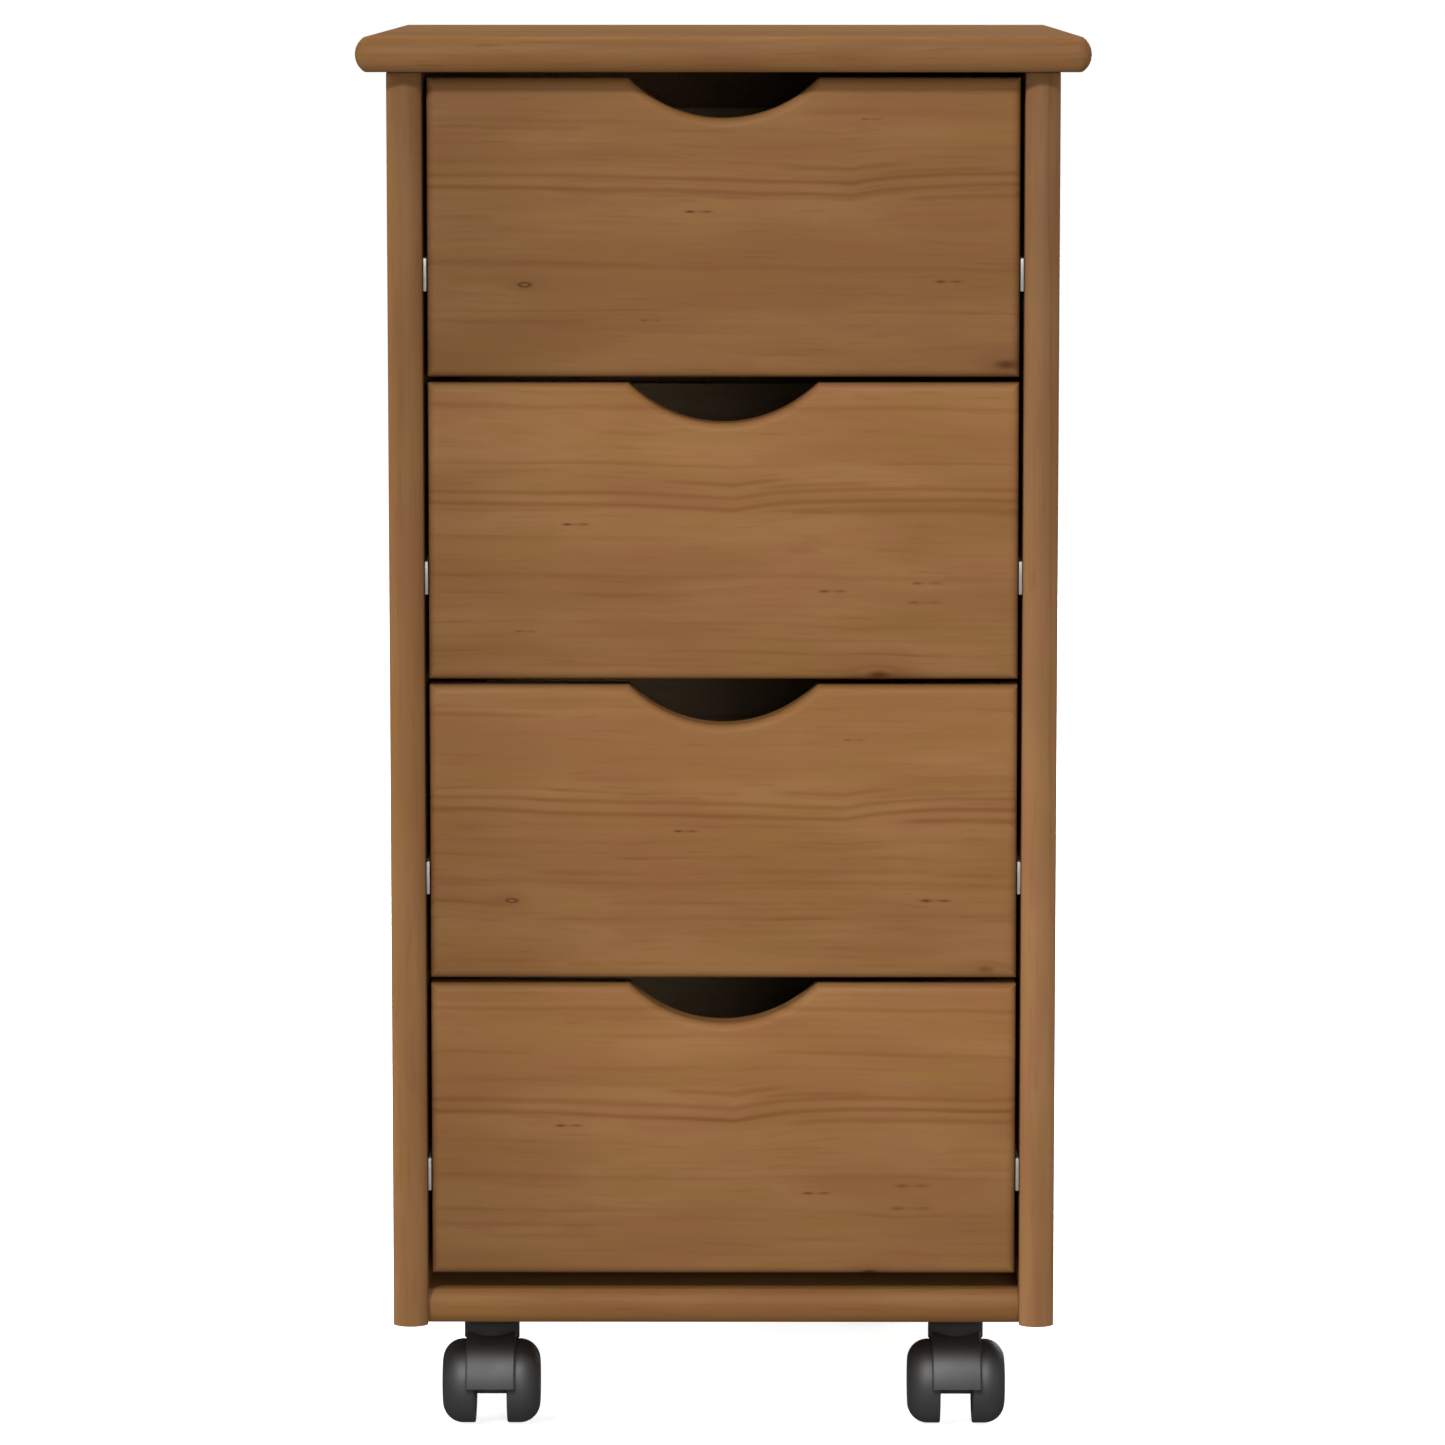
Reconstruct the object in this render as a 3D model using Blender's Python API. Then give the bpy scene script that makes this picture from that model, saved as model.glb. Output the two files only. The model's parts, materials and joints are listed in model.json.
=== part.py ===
"""Wheeled storage cabinet: a pine carcass, four drawers on ball-bearing runners, four twin-wheel casters.

Lengths are in metres and +Z is up. The origin is on the floor under the middle of the cabinet.
The drawers face -Y and slide out along it.
"""

import math

import bmesh
import bpy
from mathutils import Vector

# Cabinet
cabinet_width = 0.375
cabinet_depth = 0.420
cabinet_height = 0.735
board_thickness = 0.018
side_overhang = 0.015
front_overhang = 0.015
nose_bulge = 0.005
top_corner_radius = 0.002
bottom_board_setback = 0.0075
back_panel_thickness = 0.004
rebate_width = 0.008
seat_gap = 0.0003

# Drawers
drawer_count = 4
front_side_gap = 0.0023
front_top_gap = 0.003
front_between_gap = 0.003
front_bottom_gap = 0.0092
front_edge_radius = 0.003
cutout_width = 0.0976
cutout_depth = 0.0209
box_length = 0.350
box_lift = 0.010
box_headroom = 0.02545
box_side_thickness = 0.015
box_back_thickness = 0.012
box_floor_thickness = 0.004
floor_groove_depth = 0.005
floor_groove_rise = 0.008

# Ball-bearing runners
runner_height = 0.017
runner_rise = 0.0525
runner_groove_depth = 0.008
runner_sheet = 0.0012
runner_flange = 0.0070
runner_lip = 0.001
runner_front_gap = 0.001
inner_runner_height = 0.0100
inner_runner_flange = 0.0055
inner_runner_setback = 0.004
stop_length = 0.005
stop_setback = 0.002

# Casters
caster_height = 0.064
caster_side_inset = 0.0491
caster_front_inset = 0.065
caster_rear_inset = 0.050
caster_trail = 0.0074
wheel_radius = 0.0225
wheel_width = 0.01735
wheel_gap = 0.017
wheel_shoulder_radius = 0.011
wheel_edge_radius = 0.0008
hubcap_radius = 0.0090
hubcap_recess = 0.0008
wheel_cap_thickness = 0.003
axle_radius = 0.003
hub_radius = 0.007
web_clearance = 0.001
fender_width = 0.026
fender_clearance = 0.001
fender_thickness = 0.003
fender_edge_radius = 0.0010
fender_front_rise = 0.0011
fender_rear_angle = math.radians(148)
dome_radius = 0.0146
dome_shoulder_radius = 0.005
dome_foot_rise = 0.0138
neck_radius = 0.0105
neck_height = 0.0004
plate_size = 0.038
plate_thickness = 0.0025
plate_corner_radius = 0.004
race_radius = 0.013
race_height = 0.0035
race_edge_radius = 0.0015
screw_hole_radius = 0.0022
screw_hole_inset = 0.0065

# How finely round shapes are divided
nose_steps = 8
corner_steps = 3
cutout_steps = 16
edge_steps = 2
wheel_steps = 24
shoulder_steps = 4
fender_steps = 12
hub_steps = 16
dome_steps = 20
hole_steps = 8
sharp_angle = math.radians(40)

# How far a cutter runs past what it cuts
overrun = 0.001

# Places that follow from the sizes above
half_width = cabinet_width / 2
front_face = -cabinet_depth / 2
back_face = cabinet_depth / 2
carcass_top = cabinet_height - board_thickness
carcass_bottom = caster_height
side_outer = half_width - side_overhang
side_inner = side_outer - board_thickness
side_nose = front_face + front_overhang
back_panel_front = back_face - back_panel_thickness
interior_bottom = carcass_bottom + board_thickness

drawer_face = side_nose + nose_bulge
drawer_half_width = side_inner - front_side_gap
front_gaps = front_top_gap + front_bottom_gap + (drawer_count - 1) * front_between_gap
front_height = (carcass_top - interior_bottom - front_gaps) / drawer_count
drawer_pitch = front_height + front_between_gap
box_height = front_height - box_lift - box_headroom
box_front = drawer_face + board_thickness + seat_gap
box_back = box_front + box_length
box_inner = drawer_half_width - box_side_thickness

wheel_inner = wheel_gap / 2
wheel_outer = wheel_inner + wheel_width
axle_height = wheel_radius * math.cos(math.pi / wheel_steps)
fender_inner = wheel_radius + fender_clearance
fender_outer = fender_inner + fender_thickness
race_bottom = caster_height - seat_gap - plate_thickness - race_height
neck_top = race_bottom - seat_gap
dome_top = neck_top - neck_height
dome_foot = axle_height + dome_foot_rise

pine = ("pine", (0.30, 0.15, 0.06, 1.0), 0.45, 0.0)
hardboard = ("hardboard", (0.23, 0.12, 0.055, 1.0), 0.60, 0.0)
zinc_steel = ("zinc_steel", (0.62, 0.62, 0.61, 1.0), 0.32, 1.0)
black_plastic = ("black_plastic", (0.035, 0.034, 0.033, 1.0), 0.42, 0.0)


def clear_scene():
    for thing in list(bpy.data.objects):
        bpy.data.objects.remove(thing, do_unlink=True)


def finish(kind):
    """The material of a kind, made the first time that a piece asks for it."""
    name, colour, roughness, metallic = kind
    material = bpy.data.materials.get(name)
    if material is None:
        material = bpy.data.materials.new(name)
        material.use_nodes = True
        shader = material.node_tree.nodes["Principled BSDF"]
        shader.inputs["Base Color"].default_value = colour
        shader.inputs["Roughness"].default_value = roughness
        shader.inputs["Metallic"].default_value = metallic
    return material


def hang(made, carrier):
    """Hang an object that is already in its place on the empty that moves it."""
    made.parent = carrier
    made.matrix_parent_inverse = carrier.matrix_world.inverted()


def pivot(name, place, carrier=None):
    """An empty on a joint's axis, which carries the pieces that move together."""
    empty = bpy.data.objects.new(name, None)
    bpy.context.scene.collection.objects.link(empty)
    empty.location = place
    if carrier is not None:
        hang(empty, carrier)
    bpy.context.view_layer.update()
    return empty


def shade_round(made):
    """Shade a piece smooth, and keep its real edges sharp."""
    made.data.shade_smooth()
    made.data.set_sharp_from_angle(angle=sharp_angle)


def piece(name, bm, kind, carrier=None, smooth=False):
    """Turn a bmesh into a named object with its material, faces out, shaded flat or smooth."""
    bmesh.ops.recalc_face_normals(bm, faces=bm.faces)
    mesh = bpy.data.meshes.new(name)
    bm.to_mesh(mesh)
    bm.free()
    mesh.materials.append(finish(kind))
    made = bpy.data.objects.new(name, mesh)
    bpy.context.scene.collection.objects.link(made)
    if smooth:
        shade_round(made)
    if carrier is not None:
        hang(made, carrier)
    return made


def combine(target, tools, operation):
    """Union or difference of a piece with tool pieces, which are used up."""
    for tool in tools:
        step = target.modifiers.new(operation, "BOOLEAN")
        step.operation = operation
        step.solver = "EXACT"
        step.object = tool
    bpy.context.view_layer.update()
    graph = bpy.context.evaluated_depsgraph_get()
    joined = bpy.data.meshes.new_from_object(target.evaluated_get(graph))
    target.modifiers.clear()
    target.data = joined
    for tool in tools:
        bpy.data.objects.remove(tool, do_unlink=True)


def placed(axis, u, v, along):
    """A point of an outline drawn across an axis: (y, z) across X, (x, z) across Y, (x, y) across Z."""
    if axis == "X":
        return Vector((along, u, v))
    if axis == "Y":
        return Vector((u, along, v))
    return Vector((u, v, along))


def extruded(outlines, axis, start, end):
    """A bmesh drawn across an axis as outlines that share edges, and run from start to end along it."""
    bm = bmesh.new()
    known = {}
    for outline in outlines:
        for point in outline:
            if point not in known:
                known[point] = bm.verts.new(placed(axis, *point, start))
        bm.faces.new([known[point] for point in outline])
    grown = bmesh.ops.extrude_face_region(bm, geom=bm.faces[:])
    moved = [part for part in grown["geom"] if isinstance(part, bmesh.types.BMVert)]
    bmesh.ops.translate(bm, verts=moved, vec=placed(axis, 0, 0, end - start))
    return bm


def pulled(bm, chosen, shift):
    """Extrude the faces whose middle and normal are chosen, and move the new faces by a shift."""
    bm.normal_update()
    faces = [face for face in bm.faces if chosen(face.calc_center_median(), face.normal)]
    grown = bmesh.ops.extrude_face_region(bm, geom=faces)
    moved = [part for part in grown["geom"] if isinstance(part, bmesh.types.BMVert)]
    bmesh.ops.translate(bm, verts=moved, vec=shift)
    bmesh.ops.delete(bm, geom=faces, context="FACES")
    bmesh.ops.recalc_face_normals(bm, faces=bm.faces)


def block(low, high):
    """A rectangular block between two corners."""
    outline = [(low[0], low[1]), (high[0], low[1]), (high[0], high[1]), (low[0], high[1])]
    return extruded([outline], "Z", low[2], high[2])


def arc(centre, radius, start, end, steps):
    """Points along an arc, both ends included, with its angles in radians."""
    points = []
    for step in range(steps + 1):
        angle = start + (end - start) * step / steps
        points.append((centre[0] + radius * math.cos(angle), centre[1] + radius * math.sin(angle)))
    return points


def turned(profile, steps, axis, centre):
    """Turn a closed profile of (radius, along) points about an axis through a centre."""
    bm = bmesh.new()
    rings = []
    for radius, along in profile:
        if radius == 0:
            rings.append([bm.verts.new(centre + placed(axis, 0, 0, along))] * steps)
            continue
        ring = []
        for step in range(steps):
            angle = 2 * math.pi * (step + 0.5) / steps
            offset = placed(axis, radius * math.sin(angle), radius * math.cos(angle), along)
            ring.append(bm.verts.new(centre + offset))
        rings.append(ring)
    for near, far in zip(rings, rings[1:] + rings[:1]):
        for step in range(steps):
            after = (step + 1) % steps
            corners = [near[step], near[after], far[after], far[step]]
            distinct = list(dict.fromkeys(corners))
            if len(distinct) > 2:
                bm.faces.new(distinct)
    return bm


def nose_profile(thickness, bulge):
    """Shallow arc of a bullnose: (height over the board's middle, how far it stands out) per point."""
    radius = ((thickness / 2) ** 2 + bulge**2) / (2 * bulge)
    reach = math.asin(thickness / 2 / radius)
    return arc((0, bulge - radius), radius, math.pi / 2 - reach, math.pi / 2 + reach, nose_steps)


def bullnosed_outline(tip, back, low, high):
    """Outline of a board seen from its end: bullnose tip at the front, square at the back."""
    middle = (low + high) / 2
    nose = [(tip + nose_bulge - out, middle + height) for height, out in nose_profile(high - low, nose_bulge)]
    return nose + [(back, low), (back, high)]


def make_top_board():
    """Top board: bullnosed at the front and both sides, square at the back."""
    bm = bmesh.new()
    middle = cabinet_height - board_thickness / 2
    flat_half = half_width - nose_bulge
    flat_front = front_face + nose_bulge
    rings = []
    for height, out in nose_profile(board_thickness, nose_bulge):
        radius = top_corner_radius + out
        centre_x = flat_half - top_corner_radius
        centre_y = flat_front + top_corner_radius
        right = arc((centre_x, centre_y), radius, 0, -math.pi / 2, corner_steps)
        left = [(-x, y) for x, y in reversed(right)]
        outline = [(flat_half + out, back_face)] + right + left + [(-flat_half - out, back_face)]
        rings.append([bm.verts.new((x, y, middle + height)) for x, y in outline])
    for upper, lower in zip(rings, rings[1:]):
        for here in range(len(upper) - 1):
            bm.faces.new([lower[here], lower[here + 1], upper[here + 1], upper[here]])
    bm.faces.new(rings[0])
    bm.faces.new(rings[-1])
    bm.faces.new([ring[0] for ring in rings] + [ring[-1] for ring in reversed(rings)])
    piece("top_board", bm, pine, smooth=True)


def make_side_panel(name, sign):
    """Side panel: bullnosed front edge, and a rebate behind for the back panel."""
    nose = []
    middle = (side_inner + side_outer) / 2
    for height, out in nose_profile(board_thickness, nose_bulge):
        nose.append((middle + height, side_nose + nose_bulge - out))
    rebate_front = back_panel_front - seat_gap
    outline = nose + [
        (side_inner, rebate_front),
        (side_inner + rebate_width, rebate_front),
        (side_inner + rebate_width, back_face),
        (side_outer, back_face),
    ]
    outline = [(sign * x, y) for x, y in outline]
    bm = extruded([outline], "Z", carcass_bottom, carcass_top - seat_gap)
    piece(name, bm, pine, smooth=True)


def make_bottom_board():
    """Bottom board between the side panels, bullnosed at the front."""
    tip = side_nose + bottom_board_setback
    outline = bullnosed_outline(tip, back_panel_front - seat_gap, carcass_bottom, interior_bottom)
    bm = extruded([outline], "X", seat_gap - side_inner, side_inner - seat_gap)
    piece("bottom_board", bm, pine, smooth=True)


def make_back_panel():
    """Thin back panel, let into the side panels' rebates and fixed to the bottom board's back edge."""
    half = side_inner + rebate_width - seat_gap
    low = (-half, back_panel_front, carcass_bottom)
    high = (half, back_face, carcass_top - seat_gap)
    piece("back_panel", block(low, high), hardboard)


def front_outline(low):
    """Outline of a drawer front with its finger cut-out, an arc that sinks into the top edge."""
    high = low + front_height
    radius = ((cutout_width / 2) ** 2 + cutout_depth**2) / (2 * cutout_depth)
    reach = math.asin(cutout_width / 2 / radius)
    centre = (0, high - cutout_depth + radius)
    dip = arc(centre, radius, -math.pi / 2 + reach, -math.pi / 2 - reach, cutout_steps)
    half = drawer_half_width
    return [(-half, high), (-half, low), (half, low), (half, high)] + dip


def make_drawer_front(name, low, carrier):
    """Drawer front with rounded front edges, and a groove behind for the drawer's floor."""
    bm = extruded([front_outline(low)], "Y", drawer_face, drawer_face + board_thickness)
    middle = drawer_face + board_thickness / 2
    rim = [edge for edge in bm.edges if all(vert.co.y < middle for vert in edge.verts)]
    bmesh.ops.bevel(bm, geom=rim, offset=front_edge_radius, segments=edge_steps, profile=0.5, affect="EDGES")
    front = piece(name, bm, pine, carrier)
    groove_low = low + box_lift + floor_groove_rise
    groove_high = groove_low + box_floor_thickness + 2 * seat_gap
    reach = box_inner + floor_groove_depth
    back = drawer_face + board_thickness
    cutter = block((-reach, back - floor_groove_depth, groove_low), (reach, back + overrun, groove_high))
    combine(front, [piece("groove", cutter, pine)], "DIFFERENCE")
    shade_round(front)


def make_drawer_side(name, low, sign, carrier):
    """Drawer side: a groove outside for the runner, and one inside for the floor."""
    foot = low + box_lift
    outer = drawer_half_width
    runner_low = low + runner_rise - runner_height / 2 - seat_gap
    runner_high = low + runner_rise + runner_height / 2 + seat_gap
    floor_low = foot + floor_groove_rise
    floor_high = floor_low + box_floor_thickness + 2 * seat_gap
    outline = [
        (outer, foot),
        (outer, runner_low),
        (outer - runner_groove_depth, runner_low),
        (outer - runner_groove_depth, runner_high),
        (outer, runner_high),
        (outer, foot + box_height),
        (box_inner, foot + box_height),
        (box_inner, floor_high),
        (box_inner + floor_groove_depth, floor_high),
        (box_inner + floor_groove_depth, floor_low),
        (box_inner, floor_low),
        (box_inner, foot),
    ]
    outline = [(sign * x, z) for x, z in outline]
    piece(name, extruded([outline], "Y", box_front, box_back), pine, carrier)


def make_drawer_back(name, low, carrier):
    """Drawer back between the sides, standing on the floor, which runs on under it."""
    foot = low + box_lift
    half = box_inner - seat_gap
    floor_top = foot + floor_groove_rise + seat_gap + box_floor_thickness
    corner_low = (-half, box_back - box_back_thickness, floor_top + seat_gap)
    corner_high = (half, box_back, foot + box_height)
    piece(name, block(corner_low, corner_high), pine, carrier)


def make_drawer_floor(name, low, carrier):
    """Drawer floor: a thin panel in the grooves of the sides and the front."""
    half = box_inner + floor_groove_depth - seat_gap
    bottom = low + box_lift + floor_groove_rise + seat_gap
    front = drawer_face + board_thickness - floor_groove_depth + seat_gap
    corner_low = (-half, front, bottom)
    corner_high = (half, box_back, bottom + box_floor_thickness)
    piece(name, block(corner_low, corner_high), hardboard, carrier)


def make_outer_runner(name, low, sign):
    """Fixed runner member: a lipped channel whose web runs on beside the drawer front to a thick stop."""
    web = side_inner - seat_gap
    inner_web = web - runner_sheet
    tip = web - runner_flange
    middle = low + runner_rise
    half = runner_height / 2
    inner_half = half - runner_sheet
    lip_half = inner_half - runner_lip
    web_loop = [
        (web, middle - half),
        (inner_web, middle - half),
        (inner_web, middle - inner_half),
        (inner_web, middle + inner_half),
        (inner_web, middle + half),
        (web, middle + half),
    ]
    loops = [web_loop]
    for up in (1, -1):
        loops.append(
            [
                (inner_web, middle + up * half),
                (inner_web, middle + up * inner_half),
                (tip + runner_sheet, middle + up * inner_half),
                (tip + runner_sheet, middle + up * lip_half),
                (tip, middle + up * lip_half),
                (tip, middle + up * half),
            ]
        )
    loops = [[(sign * x, z) for x, z in loop] for loop in loops]
    channel_front = box_front + runner_front_gap
    bm = extruded(loops, "Y", channel_front, box_back)
    bmesh.ops.recalc_face_normals(bm, faces=bm.faces)
    web_middle = (web + inner_web) / 2
    stop_back = drawer_face + stop_setback + stop_length
    margin = runner_sheet / 4

    def web_end(at):
        def chosen(centre, normal):
            in_web = abs(abs(centre.x) - web_middle) < margin
            return in_web and abs(centre.y - at) < margin and normal.y < -0.5

        return chosen

    def stop_side(centre, normal):
        return centre.y < stop_back and normal.x * sign < -0.5

    pulled(bm, web_end(channel_front), Vector((0, stop_back - channel_front, 0)))
    pulled(bm, web_end(stop_back), Vector((0, -stop_length, 0)))
    stop_thickness = front_side_gap - 2 * seat_gap
    pulled(bm, stop_side, Vector((-sign * (stop_thickness - runner_sheet), 0, 0)))
    piece(name, bm, zinc_steel)


def make_inner_runner(name, low, sign, carrier):
    """Moving runner member: a narrower channel screwed to the bottom of the drawer side's groove."""
    web = drawer_half_width - runner_groove_depth + seat_gap
    inner_web = web + runner_sheet
    tip = web + inner_runner_flange
    middle = low + runner_rise
    half = inner_runner_height / 2
    inner_half = half - runner_sheet
    outline = [
        (web, middle - half),
        (tip, middle - half),
        (tip, middle - inner_half),
        (inner_web, middle - inner_half),
        (inner_web, middle + inner_half),
        (tip, middle + inner_half),
        (tip, middle + half),
        (web, middle + half),
    ]
    outline = [(sign * x, z) for x, z in outline]
    bm = extruded([outline], "Y", box_front + inner_runner_setback, box_back)
    piece(name, bm, zinc_steel, carrier)


def make_drawer(number):
    """One drawer with both runners. Its empty lies at the middle of its front, on the slide's axis."""
    low = carcass_top - front_top_gap - number * drawer_pitch + front_between_gap
    stem = f"drawer_{number}"
    sliding = pivot(f"{stem}_slide", (0, drawer_face, low + front_height / 2))
    make_drawer_front(f"{stem}_front", low, sliding)
    make_drawer_back(f"{stem}_back", low, sliding)
    make_drawer_floor(f"{stem}_floor", low, sliding)
    for side, sign in (("left", -1), ("right", 1)):
        make_drawer_side(f"{stem}_side_{side}", low, sign, sliding)
        make_outer_runner(f"runner_{number}_{side}_outer", low, sign)
        make_inner_runner(f"runner_{number}_{side}_inner", low, sign, sliding)


def make_caster_plate(name, centre):
    """Caster's fixing plate: a square with rounded corners, four screw holes and the ball race below."""
    half = plate_size / 2
    inner = half - plate_corner_radius
    outline = []
    for turn, (across, along) in enumerate(((1, 1), (-1, 1), (-1, -1), (1, -1))):
        start = turn * math.pi / 2
        corner = (centre.x + across * inner, centre.y + along * inner)
        outline += arc(corner, plate_corner_radius, start, start + math.pi / 2, corner_steps)
    top = caster_height - seat_gap
    plate = piece(name, extruded([outline], "Z", top - plate_thickness, top), zinc_steel)
    foot = (race_radius - race_edge_radius, race_bottom + race_edge_radius)
    edge = arc(foot, race_edge_radius, -math.pi / 2, 0, corner_steps)
    profile = [(0, race_bottom)] + edge + [(race_radius, top - plate_thickness / 2), (0, top - plate_thickness / 2)]
    race = turned(profile, dome_steps, "Z", Vector((centre.x, centre.y, 0)))
    combine(plate, [piece("race", race, zinc_steel)], "UNION")
    holes = []
    for across in (-1, 1):
        for along in (-1, 1):
            reach = half - screw_hole_inset
            at = Vector((centre.x + across * reach, centre.y + along * reach, 0))
            ends = (top - plate_thickness - overrun, top + overrun)
            profile = [(0, ends[0]), (screw_hole_radius, ends[0]), (screw_hole_radius, ends[1]), (0, ends[1])]
            holes.append(piece("hole", turned(profile, hole_steps, "Z", at), zinc_steel))
    combine(plate, holes, "DIFFERENCE")


def is_rim(edge, axle):
    """Whether an edge runs round the outside of the fender, at either side of it."""
    middle = (fender_inner + fender_outer) / 2
    turns = abs(edge.verts[1].co.x - edge.verts[0].co.x) < fender_width / 2
    return turns and all((vert.co - axle).yz.length > middle for vert in edge.verts)


def make_fender(name, axle, carrier):
    """Fender and web as one wedge round the axle, before the wheels' spaces are cut from it."""
    start = math.pi - math.asin(fender_front_rise / fender_outer)
    end = math.pi - fender_rear_angle
    outline = [(0, 0)] + arc((0, 0), fender_outer, start, end, fender_steps)
    outline = [(axle.y + y, axle.z + z) for y, z in outline]
    bm = extruded([outline], "X", axle.x - fender_width / 2, axle.x + fender_width / 2)
    rim = [edge for edge in bm.edges if is_rim(edge, axle)]
    bmesh.ops.bevel(bm, geom=rim, offset=fender_edge_radius, segments=edge_steps, profile=0.5, affect="EDGES")
    return piece(name, bm, black_plastic, carrier)


def make_dome(swivel):
    """Domed shoulder over the wheels, and the neck that turns under the plate's ball race."""
    shoulder_height = dome_top - dome_shoulder_radius
    shoulder_inset = dome_radius - dome_shoulder_radius
    neck_reach = math.acos((neck_radius - shoulder_inset) / dome_shoulder_radius)
    shoulder = arc((shoulder_inset, shoulder_height), dome_shoulder_radius, 0, neck_reach, shoulder_steps)
    profile = [(0, dome_foot), (dome_radius, dome_foot)]
    profile += shoulder + [(neck_radius, neck_top), (0, neck_top)]
    bm = turned(profile, dome_steps, "Z", Vector((swivel.x, swivel.y, 0)))
    return piece("dome", bm, black_plastic)


def make_bar(radius, start, end, steps, centre):
    """A round bar along X, between two distances from a centre."""
    profile = [(0, start), (radius, start), (radius, end), (0, end)]
    return piece("bar", turned(profile, steps, "X", centre), black_plastic)


def make_caster_housing(name, swivel, axle, carrier):
    """Caster's swivelling housing: fender over the wheels, web, hub and axle, and a domed neck."""
    web_half = wheel_inner - web_clearance
    hub_half = wheel_inner - seat_gap
    axle_half = wheel_outer - wheel_cap_thickness - seat_gap
    housing = make_fender(name, axle, carrier)
    combine(housing, [make_dome(swivel)], "UNION")
    right_space = make_bar(fender_inner, web_half, wheel_outer, wheel_steps, axle)
    left_space = make_bar(fender_inner, -wheel_outer, -web_half, wheel_steps, axle)
    combine(housing, [right_space, left_space], "DIFFERENCE")
    hub = make_bar(hub_radius, -hub_half, hub_half, hub_steps, axle)
    pin = make_bar(axle_radius, -axle_half, axle_half, hub_steps, axle)
    combine(housing, [hub, pin], "UNION")
    shade_round(housing)


def make_caster_wheel(name, axle, sign, carrier):
    """Caster's wheel: flat tread inside, big rounded shoulder outside, blind bore for the axle."""
    bore = axle_radius + seat_gap
    shoulder_centre = (wheel_radius - wheel_shoulder_radius, wheel_outer - wheel_shoulder_radius)
    shoulder = arc(shoulder_centre, wheel_shoulder_radius, 0, math.pi / 2, shoulder_steps)
    profile = [
        (bore, wheel_inner),
        (wheel_radius - wheel_edge_radius, wheel_inner),
        (wheel_radius, wheel_inner + wheel_edge_radius),
    ]
    profile += shoulder
    profile += [
        (hubcap_radius, wheel_outer),
        (hubcap_radius - hubcap_recess, wheel_outer - hubcap_recess),
        (0, wheel_outer - hubcap_recess),
        (0, wheel_outer - wheel_cap_thickness),
        (bore, wheel_outer - wheel_cap_thickness),
    ]
    profile = [(radius, sign * along) for radius, along in profile]
    piece(name, turned(profile, wheel_steps, "X", axle), black_plastic, carrier, smooth=True)


def make_caster(place, sign, swivel_y):
    """One caster: its housing swivels about the neck, and both wheels turn on the axle."""
    swivel = Vector((sign * (side_outer - caster_side_inset), swivel_y, caster_height))
    axle = Vector((swivel.x, swivel_y - caster_trail, axle_height))
    stem = f"caster_{place}"
    make_caster_plate(f"{stem}_plate", swivel)
    turning = pivot(f"{stem}_swivel", swivel)
    make_caster_housing(f"{stem}_housing", swivel, axle, turning)
    for side, way in (("left", -1), ("right", 1)):
        rolling = pivot(f"{stem}_roll_{side}", axle, turning)
        make_caster_wheel(f"{stem}_wheel_{side}", axle, way, rolling)


def make_carcass():
    make_top_board()
    make_side_panel("side_panel_left", -1)
    make_side_panel("side_panel_right", 1)
    make_bottom_board()
    make_back_panel()


def make_casters():
    front = side_nose + caster_front_inset
    rear = back_face - caster_rear_inset
    make_caster("front_left", -1, front)
    make_caster("front_right", 1, front)
    make_caster("rear_left", -1, rear)
    make_caster("rear_right", 1, rear)


def main():
    clear_scene()
    make_carcass()
    for number in range(1, drawer_count + 1):
        make_drawer(number)
    make_casters()


main()
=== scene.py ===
"""Looks of the wheeled storage cabinet: its pine boards, runners, fasteners and casters, on a pale floor.

Lengths are in metres and +Z is up, as in the frame. The drawers face -Y.
"""

import json
import math

import bmesh
import bpy
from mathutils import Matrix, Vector

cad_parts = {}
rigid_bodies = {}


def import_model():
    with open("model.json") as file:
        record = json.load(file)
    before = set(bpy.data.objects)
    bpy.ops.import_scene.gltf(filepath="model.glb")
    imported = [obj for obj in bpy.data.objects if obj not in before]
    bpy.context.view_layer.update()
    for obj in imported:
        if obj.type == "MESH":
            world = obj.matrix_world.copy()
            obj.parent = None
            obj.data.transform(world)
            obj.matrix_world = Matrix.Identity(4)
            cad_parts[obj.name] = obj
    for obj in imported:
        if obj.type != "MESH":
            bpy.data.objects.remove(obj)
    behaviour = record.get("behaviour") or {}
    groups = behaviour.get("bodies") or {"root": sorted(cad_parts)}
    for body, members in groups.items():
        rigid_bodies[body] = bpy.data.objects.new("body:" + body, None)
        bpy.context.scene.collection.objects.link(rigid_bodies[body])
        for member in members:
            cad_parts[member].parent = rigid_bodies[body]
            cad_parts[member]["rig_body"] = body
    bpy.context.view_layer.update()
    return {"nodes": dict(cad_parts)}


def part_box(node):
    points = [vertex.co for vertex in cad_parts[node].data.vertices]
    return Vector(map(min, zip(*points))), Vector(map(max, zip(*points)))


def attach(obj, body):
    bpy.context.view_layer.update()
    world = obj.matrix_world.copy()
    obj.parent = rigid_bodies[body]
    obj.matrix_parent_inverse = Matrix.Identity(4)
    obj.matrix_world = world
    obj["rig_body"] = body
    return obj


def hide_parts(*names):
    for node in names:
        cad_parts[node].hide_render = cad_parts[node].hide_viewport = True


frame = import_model()

# Pieces that repeat. A side has the sign of its X.
DRAWERS = (1, 2, 3, 4)
SIDES = {"left": -1, "right": 1}
CASTERS = ("front_left", "front_right", "rear_left", "rear_right")

# Joinery
NOSE_BULGE = 0.005
TOP_CORNER_RADIUS = 0.002
ARRIS = 0.0006
THIN_ARRIS = 0.0003
FRONT_EDGE_RADIUS = 0.005
CUTOUT_WIDTH = 0.0976
CUTOUT_DEPTH = 0.0209
SEAT_GAP = 0.0003
END_REACH = 0.00025
OVERRUN = 0.001
WELD_DISTANCE = 0.000001

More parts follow.
